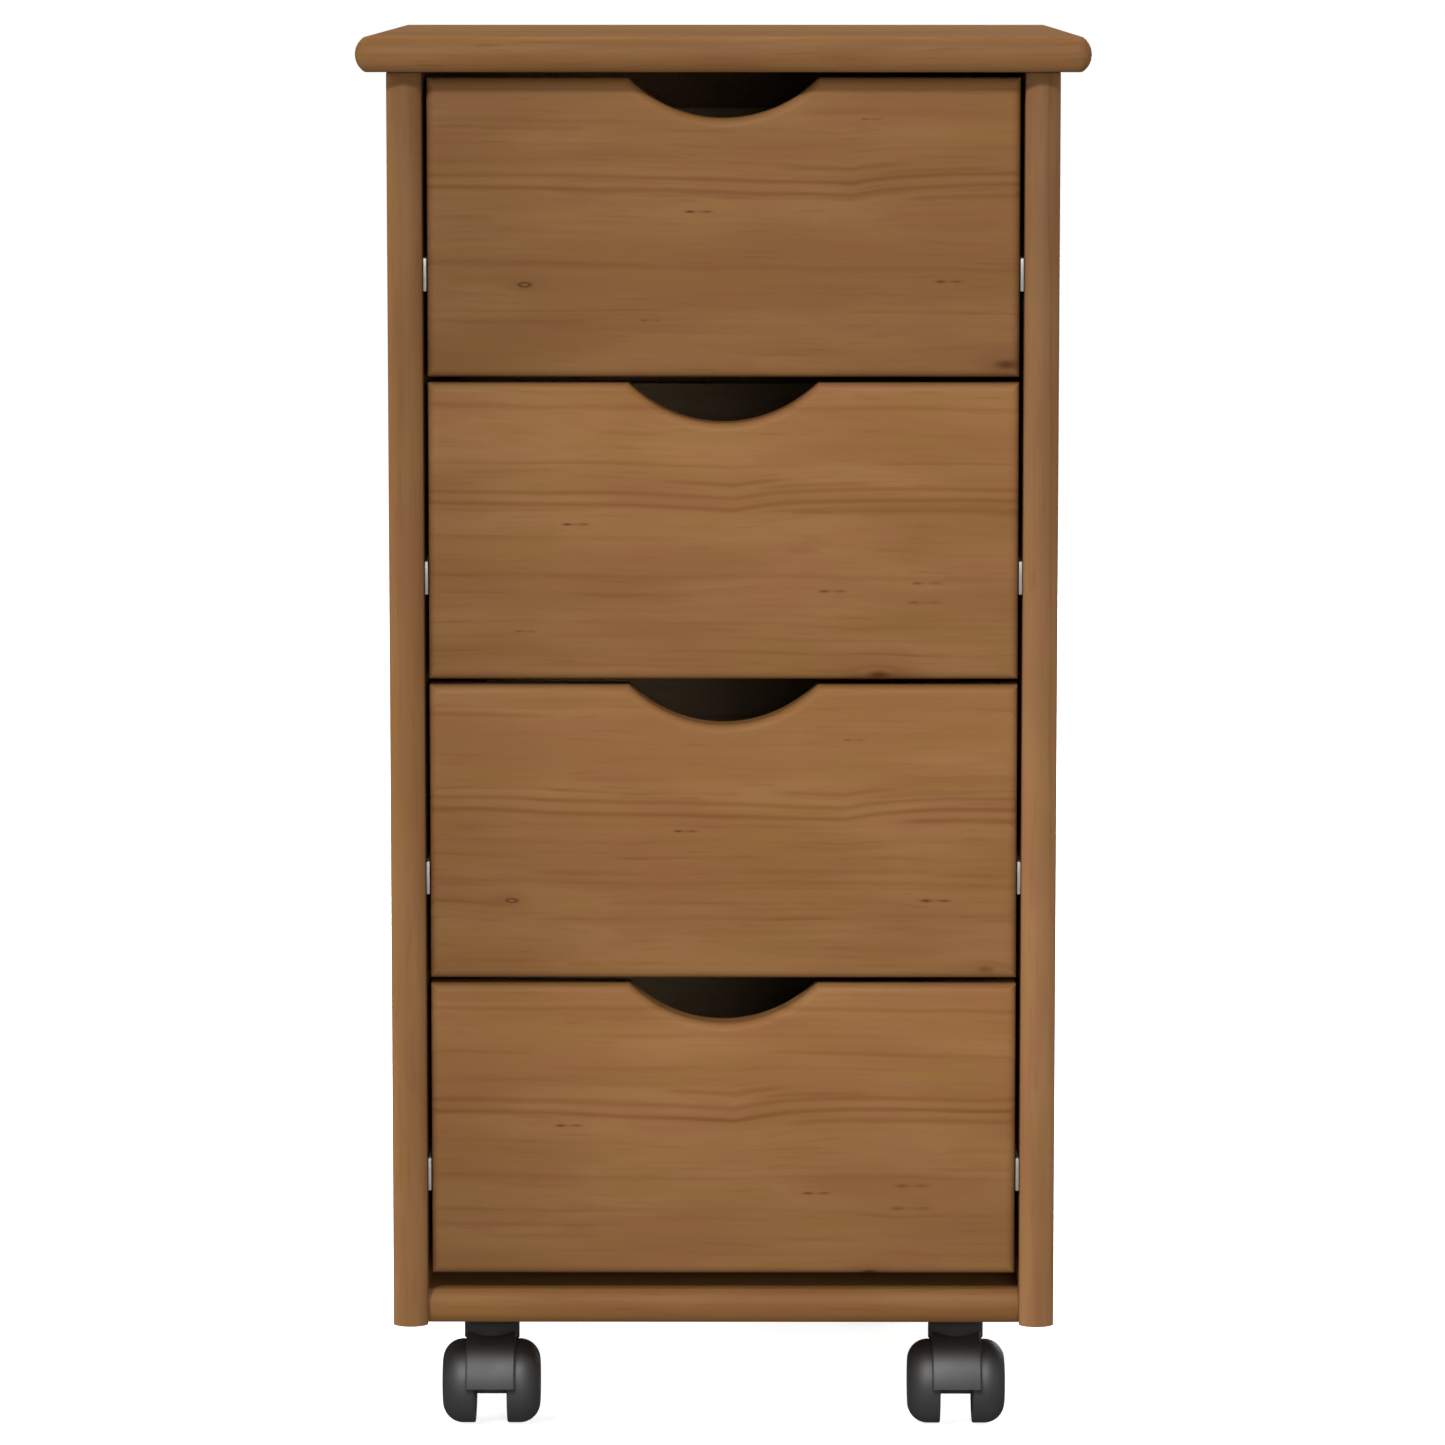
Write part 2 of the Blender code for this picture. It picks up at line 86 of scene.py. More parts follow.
# Runners: sheet steel, and a cage that holds the balls between the two members
SHEET = 0.0012
SHEET_ARRIS = SHEET * 0.2
BALL_RADIUS = 0.00105
BALL_PITCH = 0.0062
BALL_PLAY = 0.00008
CAGE_START = 0.004
CAGE_LENGTH = 0.082
CAGE_SHEET = 0.0005
CAGE_ARRIS = CAGE_SHEET * 0.3
CAGE_INSET = 0.0018
CAGE_HALF_WIDTH = 0.0013

# Screws and nails. The shares say where along a member its screws sit.
INNER_SCREW_SHARES = (0.08, 0.55, 0.93)
OUTER_SCREW_SHARES = (0.12, 0.5, 0.9)
SCREW_RADIUS = 0.0034
SCREW_RISE = 0.0013
SCREW_CROWN = 0.35
CROSS_LENGTH = 0.0030
CROSS_WIDTH = 0.0007
CROSS_DEPTH = 0.0009
NAIL_RADIUS = 0.0016
NAIL_RISE = 0.0005
NAIL_CROWN = 0.7
NAIL_INSET = 0.0045
NAIL_END = 0.03
NAIL_ROWS = 6
NAIL_COLUMNS = 4

# Casters. TREAD_RADIUS is a wheel's nominal radius; the visible wheel is smaller, to stay inside its solid.
CASTER_TRAIL = 0.0074
PLATE_ARRIS = 0.0004
PLATE_SCREW_REACH = 0.0125
RACE_HEIGHT = 0.0035
TREAD_RADIUS = 0.0225
FENDER_CLEARANCE = 0.001
FENDER_THICKNESS = 0.003
FENDER_WIDTH = 0.026
FENDER_FRONT_RISE = 0.0011
FENDER_REAR_ANGLE = math.radians(148)
FENDER_EDGE = 0.0010
WEB_CLEARANCE = 0.001
DOME_RADIUS = 0.0146
DOME_SHOULDER = 0.005
DOME_FOOT_RISE = 0.0138
NECK_RADIUS = 0.0105
NECK_HEIGHT = 0.0004
AXLE_RADIUS = 0.003
HUB_RADIUS = 0.007
WHEEL_RADIUS = 0.0223
WHEEL_SHOULDER = 0.0109
WHEEL_EDGE = 0.0008
WHEEL_WALL = 0.003
FACE_RECESS = 0.0006
HUB_RING = 0.0010
TREAD_RING = 0.0030
HUBCAP_RADIUS = 0.0090
# The groove round a hub cap, from outside in: how far from the cap's radius, and how deep
HUBCAP_GROOVE = (
    (0.0006, 0.0), (0.0002, 0.0002), (0.0, 0.0008), (-0.0006, 0.0008), (-0.0012, 0.0002), (-0.0030, 0.00005),
)

# How finely round shapes are divided
NOSE_STEPS = 24
CORNER_STEPS = 6
CUTOUT_STEPS = 56
RIM_STEPS = 7
WHEEL_STEPS = 80
SHOULDER_STEPS = 14
FENDER_STEPS = 40
EDGE_STEPS = 4
HUB_STEPS = 48
DOME_STEPS = 64
SCREW_STEPS = 20
CROWN_STEPS = 4
BALL_SPLITS = 3

SMOOTH_ANGLE = math.radians(35)
FLAT_ANGLE = math.radians(0.5)
ARRIS_ANGLE = math.radians(25)

# How the grain runs: its slope, how it wanders, and the shallow V that drops it to a foot
GRAIN_SLOPE = 0.012
WANDER_ALONG = 7.0
WANDER_ACROSS = 22.0
WANDER_HEIGHT = 0.007
KINK_RISE = 0.0066
KINK_LEFT_RISE = 0.0033
KINK_REACH = 0.028
KINK_LEFT_REACH = 0.070
KINK_HEIGHT = 0.020

# Knots: how long they are drawn along the grain, how far they push it aside and how soon that ends, and then
# their dark parts, with middle and width in knot sizes. A stroke's marks have a strength too.
KNOT_STRETCH = 2.6
KNOT_PULL = 5.0
KNOT_CALM = 3.0
KNOT_RINGS = {"eye": (0.75, 0.42), "core": (0.0, 0.9)}
HALO_WIDTH = 2.2
HALO_STRENGTH = 0.30
STROKE_HEIGHT = 0.8
STROKE_MARKS = ((0.0, 2.8, 1.0), (11.0, 3.2, 0.6), (6.0, 7.0, 0.25))

# Single growth lines. FAR is beyond each board's end.
LINE_WIDTH = 0.0013
LINE_FADE = 0.020
FAR = 1.0

# Growth rings: where in a year the dark late wood starts, is full and stops, how weak a year can be, and how
# the rings fade along the grain
LATE_START = 0.62
LATE_FULL = 0.92
LATE_STOP = 0.95
WEAK_YEARS = 0.25
WEAK_RING = 0.10
FADE_ALONG = 16.0
FADE_ACROSS = 90.0
FADE_SEED = 3.0
FADE_RANGE = (0.38, 0.62)

# Layers of the grain: how fine along and across it, how detailed and how rough
GRAIN_LAYERS = {
    "streak": (14.0, 430.0, 3.0, 0.6),
    "band": (5.0, 110.0, 2.0, 0.55),
    "dash": (34.0, 520.0, 1.0, 0.55),
    "patch": (8.0, 34.0, 1.0, 0.55),
    "hue": (15.0, 62.0, 2.5, 0.6),
}
# What darkens the wood: a layer, the range of it that counts and how much it darkens
DARK_LAYERS = (("streak", 0.45, 0.85, 0.22), ("band", 0.50, 0.80, 0.18), ("dash", 0.60, 0.78, 0.22))
RING_DARKNESS = 0.34
MOST_DARKNESS = 0.75
HUE_STRENGTH = 0.50
RING_DIP = 0.6
PATCH_RANGE = (0.35, 0.65)
RED_RANGE = (0.48, 0.68)
YELLOW_RANGE = (0.50, 0.32)

# Glued staves
STAVE_WIDTH = 0.072
STAVE_START = 0.5
STAVE_TONES = (0.93, 1.06)

# How bright each board is painted, standing in for how the light falls: painted light and shade at the foot
# and the head of each board, painted shade at the rounded edges of the fronts, and lighter or darker soft
# bands across an axis (axis, middle, width and strength)
TOP_TONES = (0.82, 0.80)
RAIL_TONES = (0.93, 0.93)
# Painted shade: each drawer front is darker towards its bottom, and the top one, under the top board, is the
# darkest
FRONT_TONES = {1: (0.826, 0.906), 2: (0.947, 1.060), 3: (0.970, 1.092), 4: (0.908, 1.150)}
# Painted light: the right side is painted brighter than the left. Painted shade: from a quarter of its height
# up, each side darkens towards the top board, to these shares of its brightness
SIDE_TONES = {"left": 1.085, "right": 1.195}
SIDE_SHADES = {"left": 0.73, "right": 0.63}
SIDE_SHADE_START = 0.25
# Painted shade at the rounded edges of the drawer fronts: how far in it reaches, and how bright it leaves the
# very edge
RIM_WIDTH = 0.0036
RIM_PAINTED_SHADE = 0.82
RAIL_BANDS = (("Z", 0.0808, 0.0014, -0.10), ("Z", 0.0728, 0.0020, -0.06))
# Painted light on the left of each side's nose, and painted shade further right
POST_LIGHT_AND_SHADE_BANDS = {
    "left": (("X", -0.1725, 0.0030, 0.12), ("X", -0.1630, 0.0090, -0.14)),
    "right": (("X", 0.1545, 0.0040, 0.20), ("X", 0.1650, 0.0045, -0.14)),
}
# Painted shade at the left end of each drawer front
FRONT_END_WIDTH = 0.07
FRONT_END_PAINTED_SHADE = -0.17

# Further differences between boards
TOP_CONTRAST = 1.4
FRONT_CONTRASTS = {1: 1.0, 2: 0.9, 3: 1.0, 4: 0.8}
RAIL_RICHNESS = 1.02
SIDE_RICHNESS = {"left": 0.98, "right": 0.96}
SIDE_SEEDS = {"left": 6.4, "right": 16.2}
# The boards of a drawer box: their along, across and depth axes, and their seed
BOX_BOARDS = (("side_left", "YZX", 1.0), ("side_right", "YZX", 2.0), ("back", "XZY", 3.0))

# Each board's figure: the foot of its grain's V (along, across), the knots (style, along, across, size and
# darkness) and the single growth lines (across, start, end, strength). A drawer front's heights are over its
# lower edge.
FIGURES = {
    1: ((0.066, 0.0925), [
        ("eye", -0.1020, 0.0476, 0.0014, 0.80), ("stroke", -0.0172, 0.0850, 0.0008, 0.90),
        ("stroke", -0.0406, 0.0294, 0.0006, 0.55), ("stroke", 0.0721, 0.1322, 0.0006, 0.60),
        ("stroke", 0.1112, 0.0492, 0.0008, 0.80), ("core", 0.1454, 0.0066, 0.0032, 0.90),
    ], [
        (0.1300, -FAR, -0.040, 0.14), (0.0560, -FAR, FAR, 0.20),
        (0.0790, -0.155, -0.110, 0.22), (0.0735, -0.130, -0.050, 0.16),
        (0.0285, -FAR, -0.060, 0.20), (0.1362, 0.030, 0.090, 0.20),
    ]),
    2: ((0.006, 0.0875), [
        ("stroke", -0.0806, 0.0806, 0.0008, 0.85), ("stroke", 0.0520, 0.0460, 0.0008, 0.75),
        ("stroke", 0.1000, 0.0502, 0.0009, 0.55), ("stroke", 0.0980, 0.0402, 0.0010, 0.45),
        ("core", 0.0805, 0.0026, 0.0028, 0.90), ("stroke", -0.1056, 0.0251, 0.0006, 0.55),
    ], [
        (0.1400, -FAR, FAR, 0.26), (0.0530, -FAR, FAR, 0.20),
        (0.0712, -FAR, -0.010, 0.14), (0.1270, -0.075, -0.020, 0.18), (0.0360, -0.095, 0.010, 0.10),
    ]),
    3: ((0.063, 0.0840), [
        ("eye", -0.1098, 0.0410, 0.0013, 0.75), ("stroke", -0.0235, 0.0774, 0.0007, 0.85),
        ("stroke", 0.1050, 0.0410, 0.0009, 0.90), ("core", 0.1361, 0.0050, 0.0020, 0.55),
        ("stroke", 0.0643, 0.1250, 0.0006, 0.50),
    ], [
        (0.1370, -FAR, -0.080, 0.26), (0.0490, -FAR, FAR, 0.20),
        (0.0760, -0.150, -0.115, 0.22), (0.0555, 0.000, 0.110, 0.10), (0.0240, -0.060, 0.040, 0.10),
    ]),
    4: ((0.006, 0.0815), [
        ("stroke", -0.0850, 0.0789, 0.0008, 0.80), ("stroke", 0.0440, 0.0431, 0.0008, 0.75),
        ("stroke", 0.0930, 0.0470, 0.0010, 0.55), ("stroke", 0.0910, 0.0350, 0.0012, 0.45),
        ("core", 0.0763, 0.0010, 0.0018, 0.90),
    ], [
        (0.1400, -FAR, FAR, 0.26), (0.0515, -FAR, FAR, 0.18),
        (0.1245, -0.065, -0.015, 0.18), (0.0690, -FAR, -0.020, 0.12),
    ]),
    "top": (None, [
        ("eye", -0.0850, 0.0300, 0.0026, 0.75), ("core", 0.1180, -0.0560, 0.0042, 0.80),
        ("stroke", 0.0400, 0.1290, 0.0012, 0.75), ("stroke", -0.1240, -0.1080, 0.0010, 0.70),
        ("core", -0.0300, 0.1720, 0.0030, 0.70),
    ], [
        (-0.0900, -FAR, FAR, 0.20), (-0.0835, -0.100, 0.150, 0.16),
        (-0.0210, -FAR, 0.060, 0.20), (0.0125, -FAR, FAR, 0.16),
        (0.0640, -0.060, FAR, 0.22), (0.1010, -FAR, FAR, 0.18),
        (0.1500, -FAR, 0.020, 0.16), (-0.1460, -FAR, FAR, 0.18),
    ]),
    "left": ((0.430, -0.0250), [
        ("core", 0.5560, 0.0820, 0.0044, 0.80), ("eye", 0.2900, -0.0640, 0.0028, 0.75),
        ("stroke", 0.6400, -0.1040, 0.0012, 0.75), ("stroke", 0.2050, 0.1280, 0.0011, 0.70),
        ("core", 0.1500, -0.1460, 0.0032, 0.70), ("eye", 0.4300, 0.1660, 0.0022, 0.70),
    ], [
        (-0.0250, -FAR, FAR, 0.30), (-0.0180, -FAR, FAR, 0.22),
        (-0.0320, 0.380, FAR, 0.22), (-0.0880, -FAR, FAR, 0.18),
        (-0.1290, 0.250, FAR, 0.20), (0.0430, -FAR, 0.600, 0.20),
        (0.1120, -FAR, FAR, 0.18), (0.1500, 0.180, 0.560, 0.20),
    ]),
    "right": ((0.360, 0.0100), [
        ("core", 0.4900, -0.1020, 0.0046, 0.80), ("eye", 0.6150, 0.1180, 0.0028, 0.75),
        ("stroke", 0.3100, 0.0760, 0.0012, 0.75), ("stroke", 0.1950, -0.0620, 0.0011, 0.70),
        ("core", 0.2400, 0.1540, 0.0034, 0.70), ("eye", 0.1350, -0.1500, 0.0022, 0.70),
    ], [
        (0.0100, -FAR, FAR, 0.30), (0.0170, -FAR, FAR, 0.22),
        (0.0030, 0.320, FAR, 0.22), (-0.0560, -FAR, 0.560, 0.18),
        (-0.1310, -FAR, FAR, 0.20), (0.0800, 0.150, FAR, 0.20),
        (0.1300, -FAR, FAR, 0.18), (0.1700, 0.300, 0.660, 0.20),
    ]),
}
# The growth lines round the foot of a drawer front's V: height over it, start and end from it, strength
KINK_LINES = (
    (0.0, -FAR, FAR, 0.42), (0.0062, -FAR, FAR, 0.34),
    (-0.0050, 0.020, FAR, 0.34), (0.0135, -0.045, 0.035, 0.34),
    (0.0095, 0.005, 0.080, 0.28), (0.0180, -0.150, -0.080, 0.14),
)

# Colours, linear
PINE_LIGHT = (0.270, 0.133, 0.0490)
PINE_MID = (0.236, 0.110, 0.0380)
PINE_DARK = (0.150, 0.053, 0.0115)
PINE_RED = (0.244, 0.103, 0.0420)
PINE_YELLOW = (0.242, 0.120, 0.0350)
STAINED = (PINE_LIGHT, PINE_MID, PINE_DARK, PINE_RED, PINE_YELLOW)
RAW_LIGHT = (0.410, 0.295, 0.170)
RAW_MID = (0.360, 0.246, 0.133)
RAW_DARK = (0.240, 0.142, 0.062)
RAW = (RAW_LIGHT, RAW_MID, RAW_DARK, RAW_MID, RAW_LIGHT)
LINE_BROWN = (0.132, 0.039, 0.0050)
KNOT_BROWN = (0.085, 0.024, 0.0060)
HARDBOARD_LIGHT = (0.260, 0.145, 0.070)
HARDBOARD_DARK = (0.150, 0.076, 0.034)
ZINC_LIGHT = (0.56, 0.54, 0.52)
ZINC_DARK = (0.46, 0.44, 0.43)
PLASTIC_LIGHT = (0.0125, 0.0118, 0.0112)
PLASTIC_DARK = (0.0085, 0.0081, 0.0077)
FLOOR_LIGHT = (0.88, 0.88, 0.88)
FLOOR_DARK = (0.86, 0.86, 0.86)

# Noises of the plain materials: scale, detail and roughness
FIBRE_NOISE = (900.0, 4.0, 0.65)
FELT_NOISE = (40.0, 3.0, 0.6)
FELT_SHARE = 0.28
ZINC_CLOUD_NOISE = (160.0, 3.0, 0.6)
ZINC_LINE_NOISE = (1.0, 2.0, 0.6)
ZINC_ALONG = 30.0
ZINC_ACROSS = 1500.0
PEBBLE_NOISE = (2600.0, 2.0, 0.5)
FLOW_NOISE = (70.0, 2.0, 0.5)
FLOOR_NOISE = (3.0, 2.0, 0.5)

# Floor and surround. The surround's brightness runs from front to back, and is dimmer in reflections.
FLOOR_GLOW = 0.80
FLOOR_HALF = 12.0
SURROUND_DEPTH = (0.36, 0.22)
SURROUND_BLEND = 0.7
SURROUND_GLOSS = 0.4

# Lights: name, place, the height they aim at, size and power
LIGHTS = (
    ("key", (-1.75, -3.7, 3.1), 0.36, 0.45, 132.0),
    ("front", (0.75, -4.4, 0.85), 0.30, 1.5, 76.0),
    ("back", (1.6, 4.2, 0.9), 0.36, 1.5, 60.0),
    ("top", (0.3, 1.4, 4.0), 0.73, 1.4, 122.0),
    ("left", (-4.2, 0.5, 1.3), 0.36, 1.5, 75.0),
    ("right", (3.4, 2.4, 1.3), 0.36, 1.5, 85.0),
    ("sheen", (-0.5, -3.9, 3.1), 0.36, 1.9, 114.0),
)
REFLECTED_LIGHTS = ("back", "sheen")
REFLECTED_ONLY = ("sheen",)

# Camera
FRAME_PIXELS = 1445
FOCAL_PIXELS = 6275
SENSOR = 36.0
SHIFT_Y = -0.03
CAMERA_PLACE = (0.0102, -3.41, 0.7877)
CAMERA_PITCH = math.radians(6.788)
CAMERA_YAW = math.radians(0.19)


class Nodes:
    """Short calls that add nodes to a node tree."""

    def __init__(self, tree):
        self.tree = tree

    def feed(self, socket, value):
        """Link an output to a socket, or set the socket's value."""
        if isinstance(value, bpy.types.NodeSocket):
            self.tree.links.new(value, socket)
        elif isinstance(value, tuple):
            socket.default_value = (*value, 1.0)
        else:
            socket.default_value = value

    def node(self, kind, settings, inputs, output=0):
        """Add a node, and give one of its outputs."""
        made = self.tree.nodes.new(kind)
        for key, value in settings.items():
            setattr(made, key, value)
        for key, value in inputs.items():
            self.feed(made.inputs[key], value)
        return made.outputs[output]

    def math(self, operation, *values):
        return self.node("ShaderNodeMath", {"operation": operation}, dict(enumerate(values)))

    def total(self, *values):
        result = values[0]
        for value in values[1:]:
            result = self.math("ADD", result, value)
        return result

    def times(self, *values):
        result = values[0]
        for value in values[1:]:
            result = self.math("MULTIPLY", result, value)
        return result

    def minus(self, first, second):
        return self.math("SUBTRACT", first, second)

    def divided(self, first, second):
        return self.math("DIVIDE", first, second)

    def split(self, vector):
        made = self.tree.nodes.new("ShaderNodeSeparateXYZ")
        self.feed(made.inputs[0], vector)
        return {axis: made.outputs[axis] for axis in "XYZ"}

    def point(self, x, y, z):
        return self.node("ShaderNodeCombineXYZ", {}, {0: x, 1: y, 2: z})

    def place(self):
        """The place of a point in its piece at rest."""
        return self.node("ShaderNodeTexCoord", {}, {}, "Object")

    def noise(self, place, scale=1.0, detail=2.0, roughness=0.5):
        inputs = {"Vector": place, "Scale": scale, "Detail": detail, "Roughness": roughness}
        return self.node("ShaderNodeTexNoise", {}, inputs, "Fac")

    def random(self, value):
        """A random value from 0 to 1 for each number."""
        return self.node("ShaderNodeTexWhiteNoise", {"noise_dimensions": "1D"}, {"W": value}, "Value")

    def spread(self, value, low, high, start=0.0, end=1.0):
        """Map low..high smoothly to start..end."""
        inputs = {"Value": value, "From Min": low, "From Max": high, "To Min": start, "To Max": end}
        return self.node("ShaderNodeMapRange", {"interpolation_type": "SMOOTHSTEP"}, inputs)

    def bell(self, value, middle, width):
        """A bump of height 1 at the middle."""
        away = self.divided(self.minus(value, middle), width)
        return self.math("EXPONENT", self.times(away, away, -1.0))

    def mix(self, factor, first, second):
        """Mix two colours."""
        made = self.tree.nodes.new("ShaderNodeMix")
        made.data_type = "RGBA"
        colours = [socket for socket in made.inputs if socket.type == "RGBA"]
        self.feed(made.inputs[0], factor)
        self.feed(colours[0], first)
        self.feed(colours[1], second)
        return next(socket for socket in made.outputs if socket.type == "RGBA")


class Shader(Nodes):
    """The nodes of a new material."""

    def __init__(self, name):
        self.material = bpy.data.materials.new(name)
        self.material.use_nodes = True
        super().__init__(self.material.node_tree)
        self.surface = self.tree.nodes["Principled BSDF"]

    def finish(self, colour, roughness, height, depth, metallic=0.0, specular=0.5):
        """Feed the surface, with a bump of this depth, and give the material."""
        self.feed(self.surface.inputs["Base Color"], colour)
        self.feed(self.surface.inputs["Roughness"], roughness)
        self.surface.inputs["Metallic"].default_value = metallic
        self.surface.inputs["Specular IOR Level"].default_value = specular
        bump = self.node("ShaderNodeBump", {}, {"Height": height, "Distance": depth, "Strength": 1.0})
        self.feed(self.surface.inputs["Normal"], bump)
        return self.material


def knot(shader, along, across, style, x, height, size, darkness):
    """One small knot, as how far it pushes the grain aside and how dark it is.

    An eye is a dark ring, a core is dark throughout, and a stroke is a thin lens with a paler one beside it.
    """
    away = shader.minus(along, x)
    narrow = shader.divided(away, KNOT_STRETCH)
    rise = shader.minus(across, height)
    far = shader.total(shader.times(narrow, narrow), shader.times(rise, rise))
    pull = shader.divided(size * size * KNOT_PULL, shader.total(far, size * size * KNOT_CALM))
    shift = shader.times(rise, pull, -1.0)
    if style == "stroke":
        thin = shader.bell(rise, 0.0, size * STROKE_HEIGHT)
        row = []
        for middle, width, strength in STROKE_MARKS:
            row.append(shader.times(shader.bell(away, size * middle, size * width), strength))
        mark = shader.times(thin, shader.total(*row), darkness)
    else:
        reach = shader.divided(shader.math("SQRT", far), size)
        dark = shader.times(shader.bell(reach, *KNOT_RINGS[style]), darkness)
        halo = shader.times(shader.bell(reach, 0.0, HALO_WIDTH), darkness * HALO_STRENGTH)
        mark = shader.math("MAXIMUM", dark, halo)
    return shift, mark


def kinked(shader, along, across, foot):
    """How far the grain drops into a shallow V: gently from the left, and steeply up again to the right."""
    away = shader.minus(along, foot[0])
    right = shader.math("EXPONENT", shader.divided(shader.math("MAXIMUM", away, 0.0), -KINK_REACH))
    left = shader.math("EXPONENT", shader.divided(shader.math("MINIMUM", away, 0.0), KINK_LEFT_REACH))
    drops = (shader.times(right, -KINK_RISE), shader.times(left, -KINK_LEFT_RISE))
    rise = shader.total(*drops, KINK_RISE + KINK_LEFT_RISE)
    near = shader.bell(across, foot[1] + KINK_RISE, KINK_HEIGHT)
    return shader.times(rise, near, -1.0)


def growth_line(shader, along, level, height, start, end, strength):
    """One dark growth line at a height of the bent grain, which fades in and out at its ends."""
    body = shader.times(shader.bell(level, height, LINE_WIDTH), strength)
    fade_in = shader.spread(along, start, start + LINE_FADE)
    fade_out = shader.spread(along, end, end - LINE_FADE)
    return shader.times(fade_in, body, fade_out)


def growth_ring(shader, along, level, depth, seed, spacing, pith):
    """How strong the dark late wood is at a point, in rings round the pith."""
    aside = shader.minus(level, pith[0])
    behind = shader.minus(depth, pith[1])
    squares = shader.total(shader.times(aside, aside), shader.times(behind, behind))
    years = shader.total(shader.divided(shader.math("SQRT", squares), spacing), seed)
    part = shader.math("FRACT", years)
    late = shader.times(shader.spread(part, LATE_START, LATE_FULL), shader.spread(part, 1.0, LATE_STOP))
    lot = shader.random(shader.math("FLOOR", years))
    strength = shader.spread(lot, WEAK_YEARS, 1.0, WEAK_RING, 1.0)
    place = shader.point(shader.times(along, FADE_ALONG), shader.times(level, FADE_ACROSS), seed + FADE_SEED)
    return shader.times(late, strength, shader.spread(shader.noise(place), *FADE_RANGE))


def stained(shader, ring, grain, stain, contrast):
    """The wood's colour: mid and light patches, redder and yellower ones, and what darkens them."""
    light, mid, dark, red, yellow = stain
    colour = shader.mix(shader.spread(grain["patch"], *PATCH_RANGE), mid, light)
    colour = shader.mix(shader.spread(grain["hue"], *RED_RANGE, 0.0, HUE_STRENGTH), colour, red)
    colour = shader.mix(shader.spread(grain["hue"], *YELLOW_RANGE, 0.0, HUE_STRENGTH), colour, yellow)
    parts = [shader.times(ring, RING_DARKNESS * contrast)]
    for layer, low, high, darkness in DARK_LAYERS:
        parts.append(shader.times(shader.spread(grain[layer], low, high), darkness * contrast))
    return shader.mix(shader.math("MINIMUM", shader.total(*parts), MOST_DARKNESS), colour, dark)


def brightness(shader, places, tone, lot, rim, bands):
    """How bright the colour is at a point: painted light and shade by height, a random tone by stave, painted
    shade at a front's rounded edges, and bands.
    """
    value = shader.spread(places["Z"], *tone)
    if lot is not None:
        value = shader.times(value, shader.spread(lot, 0.0, 1.0, *STAVE_TONES))
    if rim is not None:
        half, low, high = rim
        beside = shader.minus(half, shader.math("ABSOLUTE", places["X"]))
        above = shader.minus(places["Z"], low)
        below = shader.minus(high, places["Z"])
        inside = shader.math("MINIMUM", beside, shader.math("MINIMUM", above, below))
        value = shader.times(value, shader.spread(inside, 0.0, RIM_WIDTH, RIM_PAINTED_SHADE, 1.0))
    for axis, middle, width, rise in bands:
        swell = shader.times(shader.bell(places[axis], middle, width), rise)
        value = shader.times(value, shader.total(swell, 1.0))
    return value


def pine(
    name, axes, seed, spacing, pith, knots=(), foot=None, lines=(), tone=None, rim=None,
    stain=STAINED, contrast=1.0, richness=1.0, stave=None, bands=(),
):
    """Stained and lacquered pine. axes are the board's along, across and depth axes.

    The rings lie spacing apart round the pith, so the board's edges and ends show them too. foot is the foot
    of the V that the grain runs through. lines are single growth lines. tone is two heights and the painted
    brightness at each, which paints light and shade by height. rim is the half width and the heights of a
    front whose rounded edges get painted shade. stain is the set of colours, and richness how saturated they
    are.
    stave is the width of the strips that a wide board is glued up from. bands are lighter or darker bands;
    on the sides' noses they are painted light and painted shade.
    """
    shader = Shader(name)
    places = shader.split(shader.place())
    along, across, depth = (places[axis] for axis in axes)
    marks = []
    shifts = [shader.times(along, GRAIN_SLOPE)]
    for figure in knots:
        shift, mark = knot(shader, along, across, *figure)
        shifts.append(shift)
        marks.append(mark)
    if foot is not None:
        shifts.append(kinked(shader, along, across, foot))
    place = shader.point(shader.times(along, WANDER_ALONG), shader.times(across, WANDER_ACROSS), seed)
    wander = shader.times(shader.minus(shader.noise(place), 0.5), WANDER_HEIGHT)
    level = shader.total(across, wander, *shifts)
    growth = [growth_line(shader, along, level, *line) for line in lines]
    lot = None
    if stave is not None:
        strip = shader.math("FLOOR", shader.divided(shader.total(across, STAVE_START), stave))
        lot = shader.random(shader.total(strip, seed))
        along = shader.total(along, lot)
        level = shader.total(level, shader.times(shader.minus(lot, 0.5), stave))

    ring = growth_ring(shader, along, level, depth, seed, spacing, pith)
    grain = {}
    for layer, (stretch, fine, detail, rough) in GRAIN_LAYERS.items():
        scaled = (shader.times(along, stretch), shader.times(level, fine), shader.times(depth, fine))
        grain[layer] = shader.noise(shader.point(*scaled), 1.0, detail, rough)
    colour = stained(shader, ring, grain, stain, contrast)
    for line in growth:
        colour = shader.mix(line, colour, LINE_BROWN)
    for mark in marks:
        colour = shader.mix(shader.math("MINIMUM", mark, 1.0), colour, KNOT_BROWN)
    if tone is not None:
        value = brightness(shader, places, tone, lot, rim, bands)
        inputs = {"Value": value, "Saturation": richness, "Color": colour}
        colour = shader.node("ShaderNodeHueSaturation", {}, inputs)
    roughness = shader.spread(grain["streak"], 0.2, 0.8, start=0.46, end=0.56)
    height = shader.minus(grain["streak"], shader.times(ring, RING_DIP))
    return shader.finish(colour, roughness, height, depth=0.00004, specular=0.14)


def hardboard(name):
    """Thin board with a smooth brown face and matted fibres."""
    shader = Shader(name)
    place = shader.place()
    fibres = shader.noise(place, *FIBRE_NOISE)
    felt = shader.noise(place, *FELT_NOISE)
    mixed = shader.total(shader.times(fibres, 1.0 - FELT_SHARE), shader.times(felt, FELT_SHARE))
    colour = shader.mix(shader.spread(mixed, 0.25, 0.75), HARDBOARD_DARK, HARDBOARD_LIGHT)
    roughness = shader.spread(fibres, 0.3, 0.7, start=0.50, end=0.65)
    return shader.finish(colour, roughness, fibres, depth=0.00005, specular=0.35)


